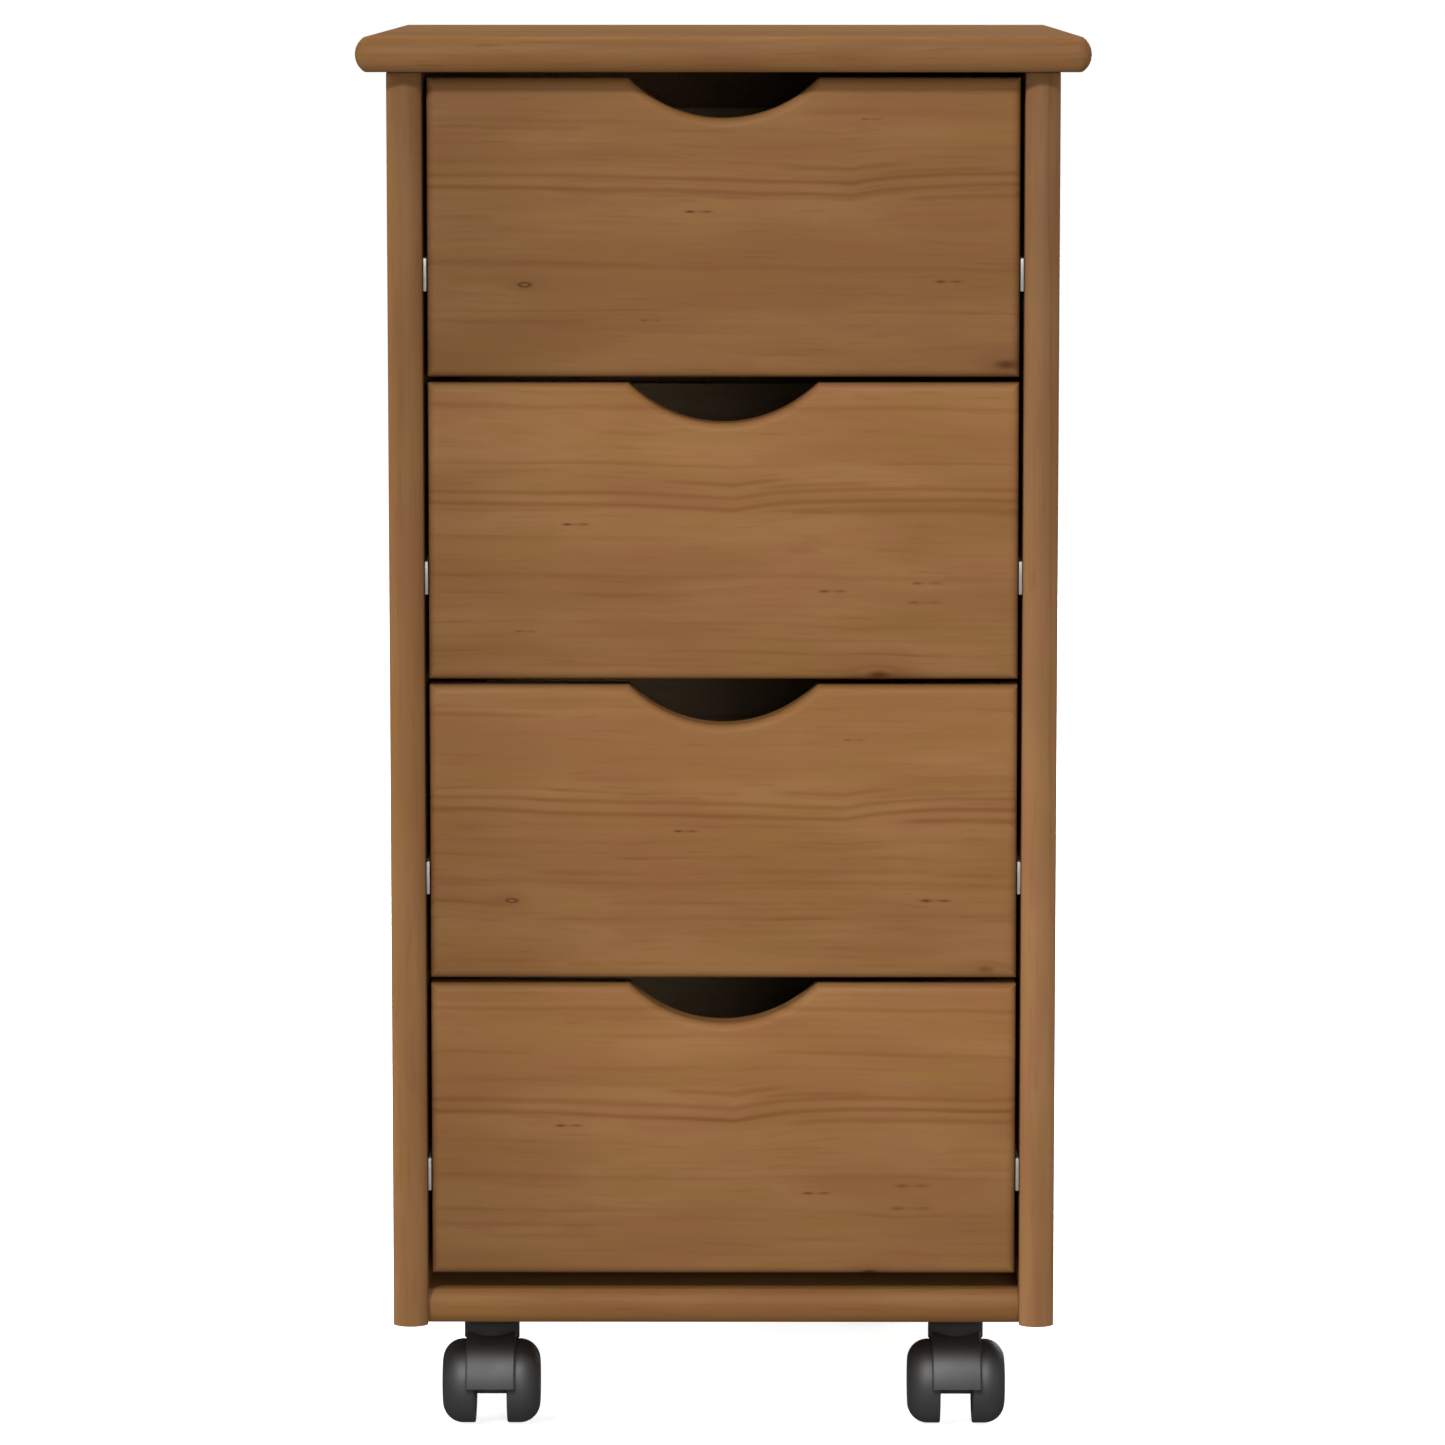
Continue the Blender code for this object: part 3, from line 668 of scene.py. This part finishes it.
def zinc(name, axis):
    """Zinc-coated sheet steel, drawn along one axis."""
    shader = Shader(name)
    place = shader.place()
    places = shader.split(place)
    stretched = [shader.times(places[key], ZINC_ALONG if key == axis else ZINC_ACROSS) for key in "XYZ"]
    lines = shader.noise(shader.point(*stretched), *ZINC_LINE_NOISE)
    cloud = shader.noise(place, *ZINC_CLOUD_NOISE)
    colour = shader.mix(shader.spread(cloud, 0.3, 0.75), ZINC_LIGHT, ZINC_DARK)
    roughness = shader.spread(lines, 0.25, 0.75, start=0.42, end=0.54)
    return shader.finish(colour, roughness, lines, depth=0.000012, metallic=0.55)


def plastic(name):
    """Black plastic moulded in a finely textured tool."""
    shader = Shader(name)
    place = shader.place()
    pebble = shader.noise(place, *PEBBLE_NOISE)
    flow = shader.noise(place, *FLOW_NOISE)
    colour = shader.mix(shader.spread(flow, 0.35, 0.65), PLASTIC_DARK, PLASTIC_LIGHT)
    roughness = shader.spread(flow, 0.3, 0.7, start=0.61, end=0.66)
    shader.surface.inputs["IOR"].default_value = 1.9
    return shader.finish(colour, roughness, pebble, depth=0.00003, specular=1.0)


def add(name, data):
    """Put a mesh, light or camera into the scene."""
    made = bpy.data.objects.new(name, data)
    bpy.context.scene.collection.objects.link(made)
    return made


def meshed(name, bm):
    """A mesh of a bmesh, which is used up."""
    mesh = bpy.data.meshes.new(name)
    bm.to_mesh(mesh)
    bm.free()
    return mesh


def show(name, bm, material, body, stands_for=None):
    """Turn a bmesh into a piece of the scene, which rides on a body and may stand for a CAD node."""
    bmesh.ops.recalc_face_normals(bm, faces=bm.faces)
    mesh = meshed(name, bm)
    mesh.materials.append(material)
    made = add(name, mesh)
    mesh.shade_smooth()
    mesh.set_sharp_from_angle(angle=SMOOTH_ANGLE)
    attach(made, body)
    if stands_for is not None:
        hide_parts(stands_for)


def merge(target, source):
    """Add a bmesh to another, and use it up."""
    mesh = meshed("part", source)
    target.from_mesh(mesh)
    bpy.data.meshes.remove(mesh)


def round_edges(bm, edges, radius, steps):
    bmesh.ops.bevel(bm, geom=edges, offset=radius, segments=steps, profile=0.5, affect="EDGES")


def soften(bm, width, segments=2, lengthwise=False):
    """Round every sharp edge of a bmesh whose flat faces are whole, or only those along X."""
    bmesh.ops.recalc_face_normals(bm, faces=bm.faces)
    edges = [edge for edge in bm.edges if edge.is_manifold and edge.calc_face_angle(0) > ARRIS_ANGLE]
    if lengthwise:
        edges = [edge for edge in edges if abs(edge.verts[1].co.x - edge.verts[0].co.x) > width]
    bmesh.ops.bevel(
        bm, geom=edges, offset=width, segments=segments, profile=0.5, affect="EDGES",
        clamp_overlap=True, loop_slide=True,
    )


def combine(target, tools, operation):
    """Union or difference of a bmesh with others, through Blender's exact Boolean. All are used up."""
    objects = []
    for bm in [target, *tools]:
        bmesh.ops.recalc_face_normals(bm, faces=bm.faces)
        objects.append(add("tool", meshed("tool", bm)))
    for tool in objects[1:]:
        step = objects[0].modifiers.new("step", "BOOLEAN")
        step.operation = operation
        step.solver = "EXACT"
        step.object = tool
    bpy.context.view_layer.update()
    joined = bmesh.new()
    joined.from_object(objects[0], bpy.context.evaluated_depsgraph_get())
    for made in objects:
        mesh = made.data
        bpy.data.objects.remove(made, do_unlink=True)
        bpy.data.meshes.remove(mesh)
    return joined


def placed(axis, u, v, along):
    """A point drawn across an axis: (y, z) across X, (x, z) across Y, (x, y) across Z."""
    if axis == "X":
        return Vector((along, u, v))
    if axis == "Y":
        return Vector((u, along, v))
    return Vector((u, v, along))


def arc(centre, radius, start, end, steps):
    """Points of a circular arc, from one angle to another."""
    points = []
    for step in range(steps + 1):
        angle = start + (end - start) * step / steps
        points.append((centre[0] + radius * math.cos(angle), centre[1] + radius * math.sin(angle)))
    return points


def extruded(outline, axis, start, end):
    """A prism whose outline is drawn across an axis."""
    bm = bmesh.new()
    near = [bm.verts.new(placed(axis, *point, start)) for point in outline]
    far = [bm.verts.new(placed(axis, *point, end)) for point in outline]
    bm.faces.new(near)
    bm.faces.new(list(reversed(far)))
    for here in range(len(outline)):
        after = (here + 1) % len(outline)
        bm.faces.new([near[here], far[here], far[after], near[after]])
    bmesh.ops.recalc_face_normals(bm, faces=bm.faces)
    return bm


def block(low, high):
    outline = [(low[0], low[1]), (high[0], low[1]), (high[0], high[1]), (low[0], high[1])]
    return extruded(outline, "Z", low[2], high[2])


def turned(profile, steps, axis, centre):
    """Turn a closed profile of (radius, along) points about an axis through a centre."""
    bm = bmesh.new()
    rings = []
    for radius, along in profile:
        if radius == 0:
            rings.append([bm.verts.new(centre + placed(axis, 0, 0, along))] * steps)
            continue
        ring = []
        for step in range(steps):
            angle = 2 * math.pi * (step + 0.5) / steps
            spot = placed(axis, radius * math.sin(angle), radius * math.cos(angle), along)
            ring.append(bm.verts.new(centre + spot))
        rings.append(ring)
    for near, far in zip(rings, rings[1:] + rings[:1]):
        for step in range(steps):
            after = (step + 1) % steps
            corners = list(dict.fromkeys([near[step], near[after], far[after], far[step]]))
            if len(corners) > 2:
                bm.faces.new(corners)
    bmesh.ops.recalc_face_normals(bm, faces=bm.faces)
    return bm


def bar(radius, start, end, steps, centre):
    """A cylinder along X."""
    return turned([(0, start), (radius, start), (radius, end), (0, end)], steps, "X", centre)


def nose(thickness):
    """Shallow arc of a bullnose: (height over the board's middle, how far it stands out) per point."""
    radius = ((thickness / 2) ** 2 + NOSE_BULGE**2) / (2 * NOSE_BULGE)
    reach = math.asin(thickness / 2 / radius)
    return arc((0, NOSE_BULGE - radius), radius, math.pi / 2 - reach, math.pi / 2 + reach, NOSE_STEPS)


def dress(node, width, material):
    """A copy of a CAD node with whole flat faces and rounded edges, which stands for it."""
    source = frame["nodes"][node]
    bm = bmesh.new()
    bm.from_mesh(source.data)
    bmesh.ops.remove_doubles(bm, verts=bm.verts, dist=WELD_DISTANCE)
    bmesh.ops.dissolve_limit(bm, angle_limit=FLAT_ANGLE, verts=bm.verts, edges=bm.edges)
    soften(bm, width)
    show(f"{node}_dressed", bm, material, source["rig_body"], node)


def make_top_board():
    low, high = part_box("top_board")
    middle = (low.z + high.z) / 2
    flat_half = high.x - NOSE_BULGE
    flat_front = low.y + NOSE_BULGE
    bm = bmesh.new()
    rings = []
    for height, out in nose(high.z - low.z):
        radius = TOP_CORNER_RADIUS + out
        centre = (flat_half - TOP_CORNER_RADIUS, flat_front + TOP_CORNER_RADIUS)
        right = arc(centre, radius, 0, -math.pi / 2, CORNER_STEPS)
        left = [(-x, y) for x, y in reversed(right)]
        outline = [(flat_half + out, high.y)] + right + left + [(-flat_half - out, high.y)]
        rings.append([bm.verts.new((x, y, middle + height)) for x, y in outline])
    for upper, lower in zip(rings, rings[1:]):
        for here in range(len(upper) - 1):
            bm.faces.new([lower[here], lower[here + 1], upper[here + 1], upper[here]])
    bm.faces.new(rings[0])
    bm.faces.new(rings[-1])
    bm.faces.new([ring[0] for ring in rings] + [ring[-1] for ring in reversed(rings)])
    soften(bm, ARRIS)
    foot, knots, lines = FIGURES["top"]
    material = pine(
        "pine_top", "XYZ", seed=2.7, spacing=0.0085, pith=(-0.05, 0.62), knots=knots, foot=foot, lines=lines,
        tone=(low.z, high.z, *TOP_TONES), contrast=TOP_CONTRAST, stave=STAVE_WIDTH,
    )
    show("top_board_pine", bm, material, "root", "top_board")


def make_side_panel(side, sign):
    node = f"side_panel_{side}"
    low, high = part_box(node)
    inner = min(abs(low.x), abs(high.x))
    outer = max(abs(low.x), abs(high.x))
    panel_low, panel_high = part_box("back_panel")
    rebate_front = panel_low.y - SEAT_GAP
    rebate_side = panel_high.x + SEAT_GAP
    middle = (inner + outer) / 2
    outline = [(middle + height, low.y + NOSE_BULGE - out) for height, out in nose(outer - inner)]
    outline += [(inner, rebate_front), (rebate_side, rebate_front), (rebate_side, high.y), (outer, high.y)]
    outline = [(sign * x, y) for x, y in outline]
    bm = extruded(outline, "Z", low.z, high.z)
    soften(bm, ARRIS)
    shade_start = low.z + SIDE_SHADE_START * (high.z - low.z)
    tone = (shade_start, high.z, SIDE_TONES[side], SIDE_SHADES[side] * SIDE_TONES[side])
    foot, knots, lines = FIGURES[side]
    material = pine(
        f"pine_side_{side}", "ZYX", SIDE_SEEDS[side], spacing=0.0085, pith=(-0.03, sign * 0.30), knots=knots,
        foot=foot, lines=lines, tone=tone, richness=SIDE_RICHNESS[side], stave=STAVE_WIDTH,
        bands=POST_LIGHT_AND_SHADE_BANDS[side],
    )
    show(f"{node}_pine", bm, material, "root", node)


def make_bottom_board():
    """Its ends reach a little into the sides and stay sharp, so that no gap shows between them."""
    low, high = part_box("bottom_board")
    middle = (low.z + high.z) / 2
    outline = [(low.y + NOSE_BULGE - out, middle + height) for height, out in nose(high.z - low.z)]
    outline += [(high.y, low.z), (high.y, high.z)]
    bm = extruded(outline, "X", low.x - END_REACH, high.x + END_REACH)
    soften(bm, ARRIS, lengthwise=True)
    material = pine(
        "pine_bottom", "XYZ", seed=5.1, spacing=0.0080, pith=(0.02, -0.05), tone=(low.z, high.z, *RAIL_TONES),
        richness=RAIL_RICHNESS, bands=RAIL_BANDS,
    )
    show("bottom_board_pine", bm, material, "root", "bottom_board")


def front_outline(half, low, high):
    """Outline of a drawer front with its finger cut-out, an arc that sinks into the top edge."""
    radius = ((CUTOUT_WIDTH / 2) ** 2 + CUTOUT_DEPTH**2) / (2 * CUTOUT_DEPTH)
    reach = math.asin(CUTOUT_WIDTH / 2 / radius)
    centre = (0, high - CUTOUT_DEPTH + radius)
    dip = arc(centre, radius, -math.pi / 2 + reach, -math.pi / 2 - reach, CUTOUT_STEPS)
    return [(-half, high), (-half, low), (half, low), (half, high)] + dip


def front_figure(number, bottom):
    """A drawer front's figure, raised to its place in the cabinet, with the growth lines round its V."""
    (foot_x, foot_rise), knots, lines = FIGURES[number]
    foot_z = bottom + foot_rise
    knots = [(style, x, bottom + height, size, darkness) for style, x, height, size, darkness in knots]
    lines = [(bottom + height, start, end, strength) for height, start, end, strength in lines]
    for height, start, end, strength in KINK_LINES:
        lines.append((foot_z + height, foot_x + start, foot_x + end, strength))
    return (foot_x, foot_z), knots, lines


def make_drawer_front(number):
    node = f"drawer_{number}_front"
    low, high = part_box(node)
    bm = extruded(front_outline(high.x, low.z, high.z), "Y", low.y, high.y)
    middle = (low.y + high.y) / 2
    rim = [edge for edge in bm.edges if all(vert.co.y < middle for vert in edge.verts)]
    round_edges(bm, rim, FRONT_EDGE_RADIUS, RIM_STEPS)
    soften(bm, THIN_ARRIS, 1)
    floor_low, floor_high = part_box(f"drawer_{number}_floor")
    groove_low = (floor_low.x - SEAT_GAP, floor_low.y - SEAT_GAP, floor_low.z - SEAT_GAP)
    groove_high = (floor_high.x + SEAT_GAP, high.y + OVERRUN, floor_high.z + SEAT_GAP)
    bm = combine(bm, [block(groove_low, groove_high)], "DIFFERENCE")
    foot, knots, lines = front_figure(number, low.z)
    material = pine(
        f"pine_front_{number}", "XZY", seed=3.1 + 6.3 * number, spacing=0.0060, pith=(low.z + 0.30, 0.02),
        knots=knots, foot=foot, lines=lines, tone=(low.z, high.z, *FRONT_TONES[number]),
        rim=(high.x, low.z, high.z), contrast=FRONT_CONTRASTS[number],
        bands=(("X", low.x, FRONT_END_WIDTH, FRONT_END_PAINTED_SHADE),),
    )
    show(f"{node}_pine", bm, material, f"drawer_{number}", node)


def make_drawer_box(number):
    stem = f"drawer_{number}"
    low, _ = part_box(f"{stem}_back")
    for part, axes, offset in BOX_BOARDS:
        material = pine(
            f"pine_{stem}_{part}", axes, seed=17.0 + 5.3 * number + offset, spacing=0.0070,
            pith=(low.z + 0.22, 0.05), stain=RAW,
        )
        dress(f"{stem}_{part}", ARRIS, material)
    dress(f"{stem}_floor", THIN_ARRIS, MATERIALS["hardboard"])


def screw_head(bm, place, out):
    """A low domed screw head with a cross recess, looking out along a unit vector."""
    axis = "XYZ"[max(range(3), key=lambda key: abs(out[key]))]
    sign = 1 if sum(out) > 0 else -1
    profile = [(0, 0), (SCREW_RADIUS, 0)]
    for step in range(1, CROWN_STEPS + 1):
        turn = step / CROWN_STEPS * math.pi / 2
        share = SCREW_CROWN + (1 - SCREW_CROWN) * math.cos(turn)
        profile.append((SCREW_RADIUS * share, SCREW_RISE * math.sin(turn)))
    profile.append((0, SCREW_RISE))
    head = turned([(radius, sign * along) for radius, along in profile], SCREW_STEPS, axis, place)
    top = place + out * SCREW_RISE
    cutters = []
    for across in (0, 1):
        half = [CROSS_WIDTH / 2, CROSS_WIDTH / 2]
        half[across] = CROSS_LENGTH / 2
        size = placed(axis, half[0], half[1], CROSS_DEPTH)
        cutters.append(block(top - size, top + size))
    merge(bm, combine(head, cutters, "DIFFERENCE"))


def make_screws(member, body, shares, x, out, ends, height):
    """The screws of a runner member, at shares of the way between its ends."""
    screws = bmesh.new()
    for share in shares:
        place = Vector((x, ends[0] + share * (ends[1] - ends[0]), height))
        screw_head(screws, place, Vector((out, 0, 0)))
    show(f"{member}_screws", screws, MATERIALS["zinc"], body)


def make_ball_cage(stem, low, high, sign):
    """Two strips with a row of balls each, over and under the inner member, near its front end."""
    cage = bmesh.new()
    start = low.y + CAGE_START
    lane = (high.z - low.z) / 2 + BALL_RADIUS + BALL_PLAY
    tip = sign * (max(abs(low.x), abs(high.x)) - CAGE_INSET)
    for up in (1, -1):
        height = (low.z + high.z) / 2 + up * lane
        for step in range(int(CAGE_LENGTH / BALL_PITCH)):
            ball = bmesh.new()
            bmesh.ops.create_icosphere(ball, subdivisions=BALL_SPLITS, radius=BALL_RADIUS)
            place = Vector((tip, start + (step + 0.5) * BALL_PITCH, height))
            bmesh.ops.translate(ball, verts=ball.verts, vec=place)
            merge(cage, ball)
        strip_low = (tip - CAGE_HALF_WIDTH, start, height - CAGE_SHEET / 2)
        strip_high = (tip + CAGE_HALF_WIDTH, start + CAGE_LENGTH, height + CAGE_SHEET / 2)
        strip = block(strip_low, strip_high)
        soften(strip, CAGE_ARRIS, 1)
        merge(cage, strip)
    show(f"{stem}_ball_cage", cage, MATERIALS["zinc"], "root")


def make_runner(number, side, sign):
    """Runner members with rounded edges, their screws, and the cage that holds the balls between them."""
    stem = f"runner_{number}_{side}"
    dress(f"{stem}_outer", SHEET_ARRIS, MATERIALS["zinc"])
    dress(f"{stem}_inner", SHEET_ARRIS, MATERIALS["zinc"])
    low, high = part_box(f"{stem}_inner")
    outer_low, outer_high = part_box(f"{stem}_outer")
    middle = (low.z + high.z) / 2
    web = sign * (min(abs(low.x), abs(high.x)) + SHEET)
    outer_web = sign * (max(abs(outer_low.x), abs(outer_high.x)) - SHEET)
    ends = (low.y, high.y)
    make_screws(f"{stem}_inner", f"drawer_{number}", INNER_SCREW_SHARES, web, sign, ends, middle)
    ends = (low.y, outer_high.y)
    make_screws(f"{stem}_outer", "root", OUTER_SCREW_SHARES, outer_web, -sign, ends, middle)
    make_ball_cage(stem, low, high, sign)


def make_caster_plate(place):
    node = f"caster_{place}_plate"
    dress(node, PLATE_ARRIS, MATERIALS["zinc_plate"])
    low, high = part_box(node)
    centre = (low + high) / 2
    under = low.z + RACE_HEIGHT
    screws = bmesh.new()
    for across in (-PLATE_SCREW_REACH, PLATE_SCREW_REACH):
        for along in (-PLATE_SCREW_REACH, PLATE_SCREW_REACH):
            screw_head(screws, Vector((centre.x + across, centre.y + along, under)), Vector((0, 0, -1)))
    show(f"{node}_screws", screws, MATERIALS["zinc_plate"], "root")


def caster_measures(place, side):
    """A caster's swivel and axle centres, and how far a wheel's inner and outer faces are from the middle."""
    plate_low, plate_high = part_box(f"caster_{place}_plate")
    low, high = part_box(f"caster_{place}_wheel_{side}")
    swivel = (plate_low + plate_high) / 2
    axle = Vector((swivel.x, swivel.y - CASTER_TRAIL, (low.z + high.z) / 2))
    inner, outer = sorted((abs(low.x - swivel.x), abs(high.x - swivel.x)))
    return swivel, axle, inner, outer


def fender_wedge(axle, inner, outer):
    """A wedge from the axle out to the fender, with rounded outer edges."""
    start = math.pi - math.asin(FENDER_FRONT_RISE / outer)
    end = math.pi - FENDER_REAR_ANGLE
    outline = [(0, 0)] + arc((0, 0), outer, start, end, FENDER_STEPS)
    outline = [(axle.y + y, axle.z + z) for y, z in outline]
    wedge = extruded(outline, "X", axle.x - FENDER_WIDTH / 2, axle.x + FENDER_WIDTH / 2)
    middle = (inner + outer) / 2
    rim = []
    for edge in wedge.edges:
        turns = abs(edge.verts[1].co.x - edge.verts[0].co.x) < FENDER_WIDTH / 2
        if turns and all((vert.co - axle).yz.length > middle for vert in edge.verts):
            rim.append(edge)
    round_edges(wedge, rim, FENDER_EDGE, EDGE_STEPS)
    return wedge


def swivel_dome(swivel, foot, top):
    """The dome over the wheels, with a round shoulder and a neck that meets the ball race."""
    inset = DOME_RADIUS - DOME_SHOULDER
    reach = math.acos((NECK_RADIUS - inset) / DOME_SHOULDER)
    shoulder = arc((inset, top - NECK_HEIGHT - DOME_SHOULDER), DOME_SHOULDER, 0, reach, SHOULDER_STEPS)
    profile = [(0, foot), (DOME_RADIUS, foot)] + shoulder + [(NECK_RADIUS, top), (0, top)]
    return turned(profile, DOME_STEPS, "Z", Vector((swivel.x, swivel.y, 0)))


def make_caster_housing(place):
    """Swivelling housing: fender over both wheels, web between them, hub, axle, dome and neck."""
    node = f"caster_{place}_housing"
    _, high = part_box(node)
    swivel, axle, wheel_inner, wheel_outer = caster_measures(place, "right")
    space_radius = TREAD_RADIUS + FENDER_CLEARANCE
    fender = fender_wedge(axle, space_radius, space_radius + FENDER_THICKNESS)
    dome = swivel_dome(swivel, axle.z + DOME_FOOT_RISE, high.z)
    housing = combine(fender, [dome], "UNION")
    web = wheel_inner - WEB_CLEARANCE
    right_space = bar(space_radius, web, wheel_outer, WHEEL_STEPS, axle)
    left_space = bar(space_radius, -wheel_outer, -web, WHEEL_STEPS, axle)
    housing = combine(housing, [right_space, left_space], "DIFFERENCE")
    hub = bar(HUB_RADIUS, SEAT_GAP - wheel_inner, wheel_inner - SEAT_GAP, HUB_STEPS, axle)
    axle_half = wheel_outer - WHEEL_WALL - SEAT_GAP
    pin = bar(AXLE_RADIUS, -axle_half, axle_half, HUB_STEPS, axle)
    housing = combine(housing, [hub, pin], "UNION")
    show(f"{node}_moulded", housing, MATERIALS["plastic"], f"caster_{place}", node)


def make_caster_wheel(place, side, sign):
    """Wheel with a recessed inner face, a wide round shoulder and a hub cap."""
    node = f"caster_{place}_wheel_{side}"
    _, axle, inner, outer = caster_measures(place, side)
    bore = AXLE_RADIUS + SEAT_GAP
    recess_start = HUB_RADIUS + HUB_RING
    recess_end = WHEEL_RADIUS - TREAD_RING
    profile = [(bore, inner), (recess_start, inner), (recess_start + FACE_RECESS, inner + FACE_RECESS)]
    profile += [(recess_end - FACE_RECESS, inner + FACE_RECESS), (recess_end, inner)]
    edge_centre = (WHEEL_RADIUS - WHEEL_EDGE, inner + WHEEL_EDGE)
    profile += arc(edge_centre, WHEEL_EDGE, -math.pi / 2, 0, EDGE_STEPS)
    shoulder_centre = (WHEEL_RADIUS - WHEEL_SHOULDER, outer - WHEEL_SHOULDER)
    profile += arc(shoulder_centre, WHEEL_SHOULDER, 0, math.pi / 2, SHOULDER_STEPS)
    profile += [(HUBCAP_RADIUS + aside, outer - deep) for aside, deep in HUBCAP_GROOVE]
    profile += [(0, outer), (0, outer - WHEEL_WALL), (bore, outer - WHEEL_WALL)]
    bm = turned([(radius, sign * along) for radius, along in profile], WHEEL_STEPS, "X", axle)
    show(f"{node}_moulded", bm, MATERIALS["plastic"], node, node)


def make_back_panel():
    """Thin back panel, a nail's rise thinner than its place, with nails round its edge."""
    low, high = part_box("back_panel")
    face = high.y - NAIL_RISE
    bm = block(low, (high.x, face, high.z))
    soften(bm, THIN_ARRIS, 1)
    show("back_panel_board", bm, MATERIALS["hardboard"], "root", "back_panel")
    places = []
    for row in range(NAIL_ROWS):
        height = low.z + NAIL_END + (high.z - low.z - 2 * NAIL_END) * row / (NAIL_ROWS - 1)
        places += [(low.x + NAIL_INSET, height), (high.x - NAIL_INSET, height)]
    for column in range(NAIL_COLUMNS):
        x = low.x + (high.x - low.x) * (column + 0.5) / NAIL_COLUMNS
        places.append((x, low.z + NAIL_INSET * 2))
    profile = [(0, 0), (NAIL_RADIUS, 0), (NAIL_RADIUS, NAIL_RISE / 2)]
    profile += [(NAIL_RADIUS * NAIL_CROWN, NAIL_RISE), (0, NAIL_RISE)]
    nails = bmesh.new()
    for x, z in places:
        merge(nails, turned(profile, SCREW_STEPS, "Y", Vector((x, face, z))))
    show("back_panel_nails", nails, MATERIALS["zinc_plate"], "root")


def make_stage():
    """A large pale floor under the cabinet."""
    shader = Shader("floor_pale")
    cloud = shader.noise(shader.place(), *FLOOR_NOISE)
    colour = shader.mix(cloud, FLOOR_DARK, FLOOR_LIGHT)
    shader.surface.inputs["Emission Color"].default_value = (1.0, 1.0, 1.0, 1.0)
    shader.surface.inputs["Emission Strength"].default_value = FLOOR_GLOW
    material = shader.finish(colour, roughness=0.9, height=cloud, depth=0.00001, specular=0.1)
    bm = bmesh.new()
    bmesh.ops.create_grid(bm, x_segments=2, y_segments=2, size=FLOOR_HALF)
    floor = add("floor", meshed("floor", bm))
    floor.data.materials.append(material)
    floor.visible_diffuse = False
    floor.visible_glossy = False


def make_lights():
    """A key light from the front left above, a low one in front, fills all round, and one for the sheen."""
    for name, place, aim, size, power in LIGHTS:
        light = bpy.data.lights.new(name, "AREA")
        light.shape = "DISK"
        light.size = size
        light.energy = power
        made = add(name, light)
        made.location = place
        made.rotation_euler = (Vector((0, 0, aim)) - Vector(place)).to_track_quat("-Z", "Y").to_euler()
        made.visible_glossy = name in REFLECTED_LIGHTS
        made.visible_diffuse = name not in REFLECTED_ONLY


def make_surround():
    """A dim surround, a little brighter in front, that the camera sees as white."""
    world = bpy.data.worlds.new("surround")
    world.use_nodes = True
    nodes = Nodes(world.node_tree)
    direction = nodes.split(nodes.node("ShaderNodeTexCoord", {}, {}, "Generated"))
    level = nodes.spread(direction["Y"], -SURROUND_BLEND, SURROUND_BLEND, *SURROUND_DEPTH)
    path = nodes.tree.nodes.new("ShaderNodeLightPath")
    dimmed = nodes.math("MULTIPLY_ADD", path.outputs["Is Glossy Ray"], SURROUND_GLOSS - 1.0, 1.0)
    mixed = {0: path.outputs["Is Camera Ray"], 2: nodes.times(dimmed, level), 3: 1.0}
    seen = nodes.node("ShaderNodeMix", {}, mixed)
    nodes.feed(nodes.tree.nodes["Background"].inputs["Color"], seen)
    bpy.context.scene.world = world


def make_camera():
    """The photograph's viewpoint, with a small vertical shift of the frame."""
    data = bpy.data.cameras.new("camera")
    data.sensor_width = SENSOR
    data.lens = FOCAL_PIXELS / FRAME_PIXELS * SENSOR
    data.shift_y = SHIFT_Y
    camera = add("camera", data)
    camera.location = CAMERA_PLACE
    camera.rotation_euler = (math.pi / 2 - CAMERA_PITCH, 0, CAMERA_YAW)
    bpy.context.scene.camera = camera


MATERIALS = {
    "hardboard": hardboard("hardboard_brown"),
    "zinc": zinc("zinc_drawn", "Y"),
    "zinc_plate": zinc("zinc_pressed", "X"),
    "plastic": plastic("plastic_black"),
}


def main():
    make_top_board()
    for side, sign in SIDES.items():
        make_side_panel(side, sign)
    make_bottom_board()
    make_back_panel()
    for number in DRAWERS:
        make_drawer_front(number)
        make_drawer_box(number)
        for side, sign in SIDES.items():
            make_runner(number, side, sign)
    for place in CASTERS:
        make_caster_plate(place)
        make_caster_housing(place)
        for side, sign in SIDES.items():
            make_caster_wheel(place, side, sign)
    make_stage()
    make_lights()
    make_surround()
    make_camera()
    bpy.context.scene.view_settings.view_transform = "Standard"


main()
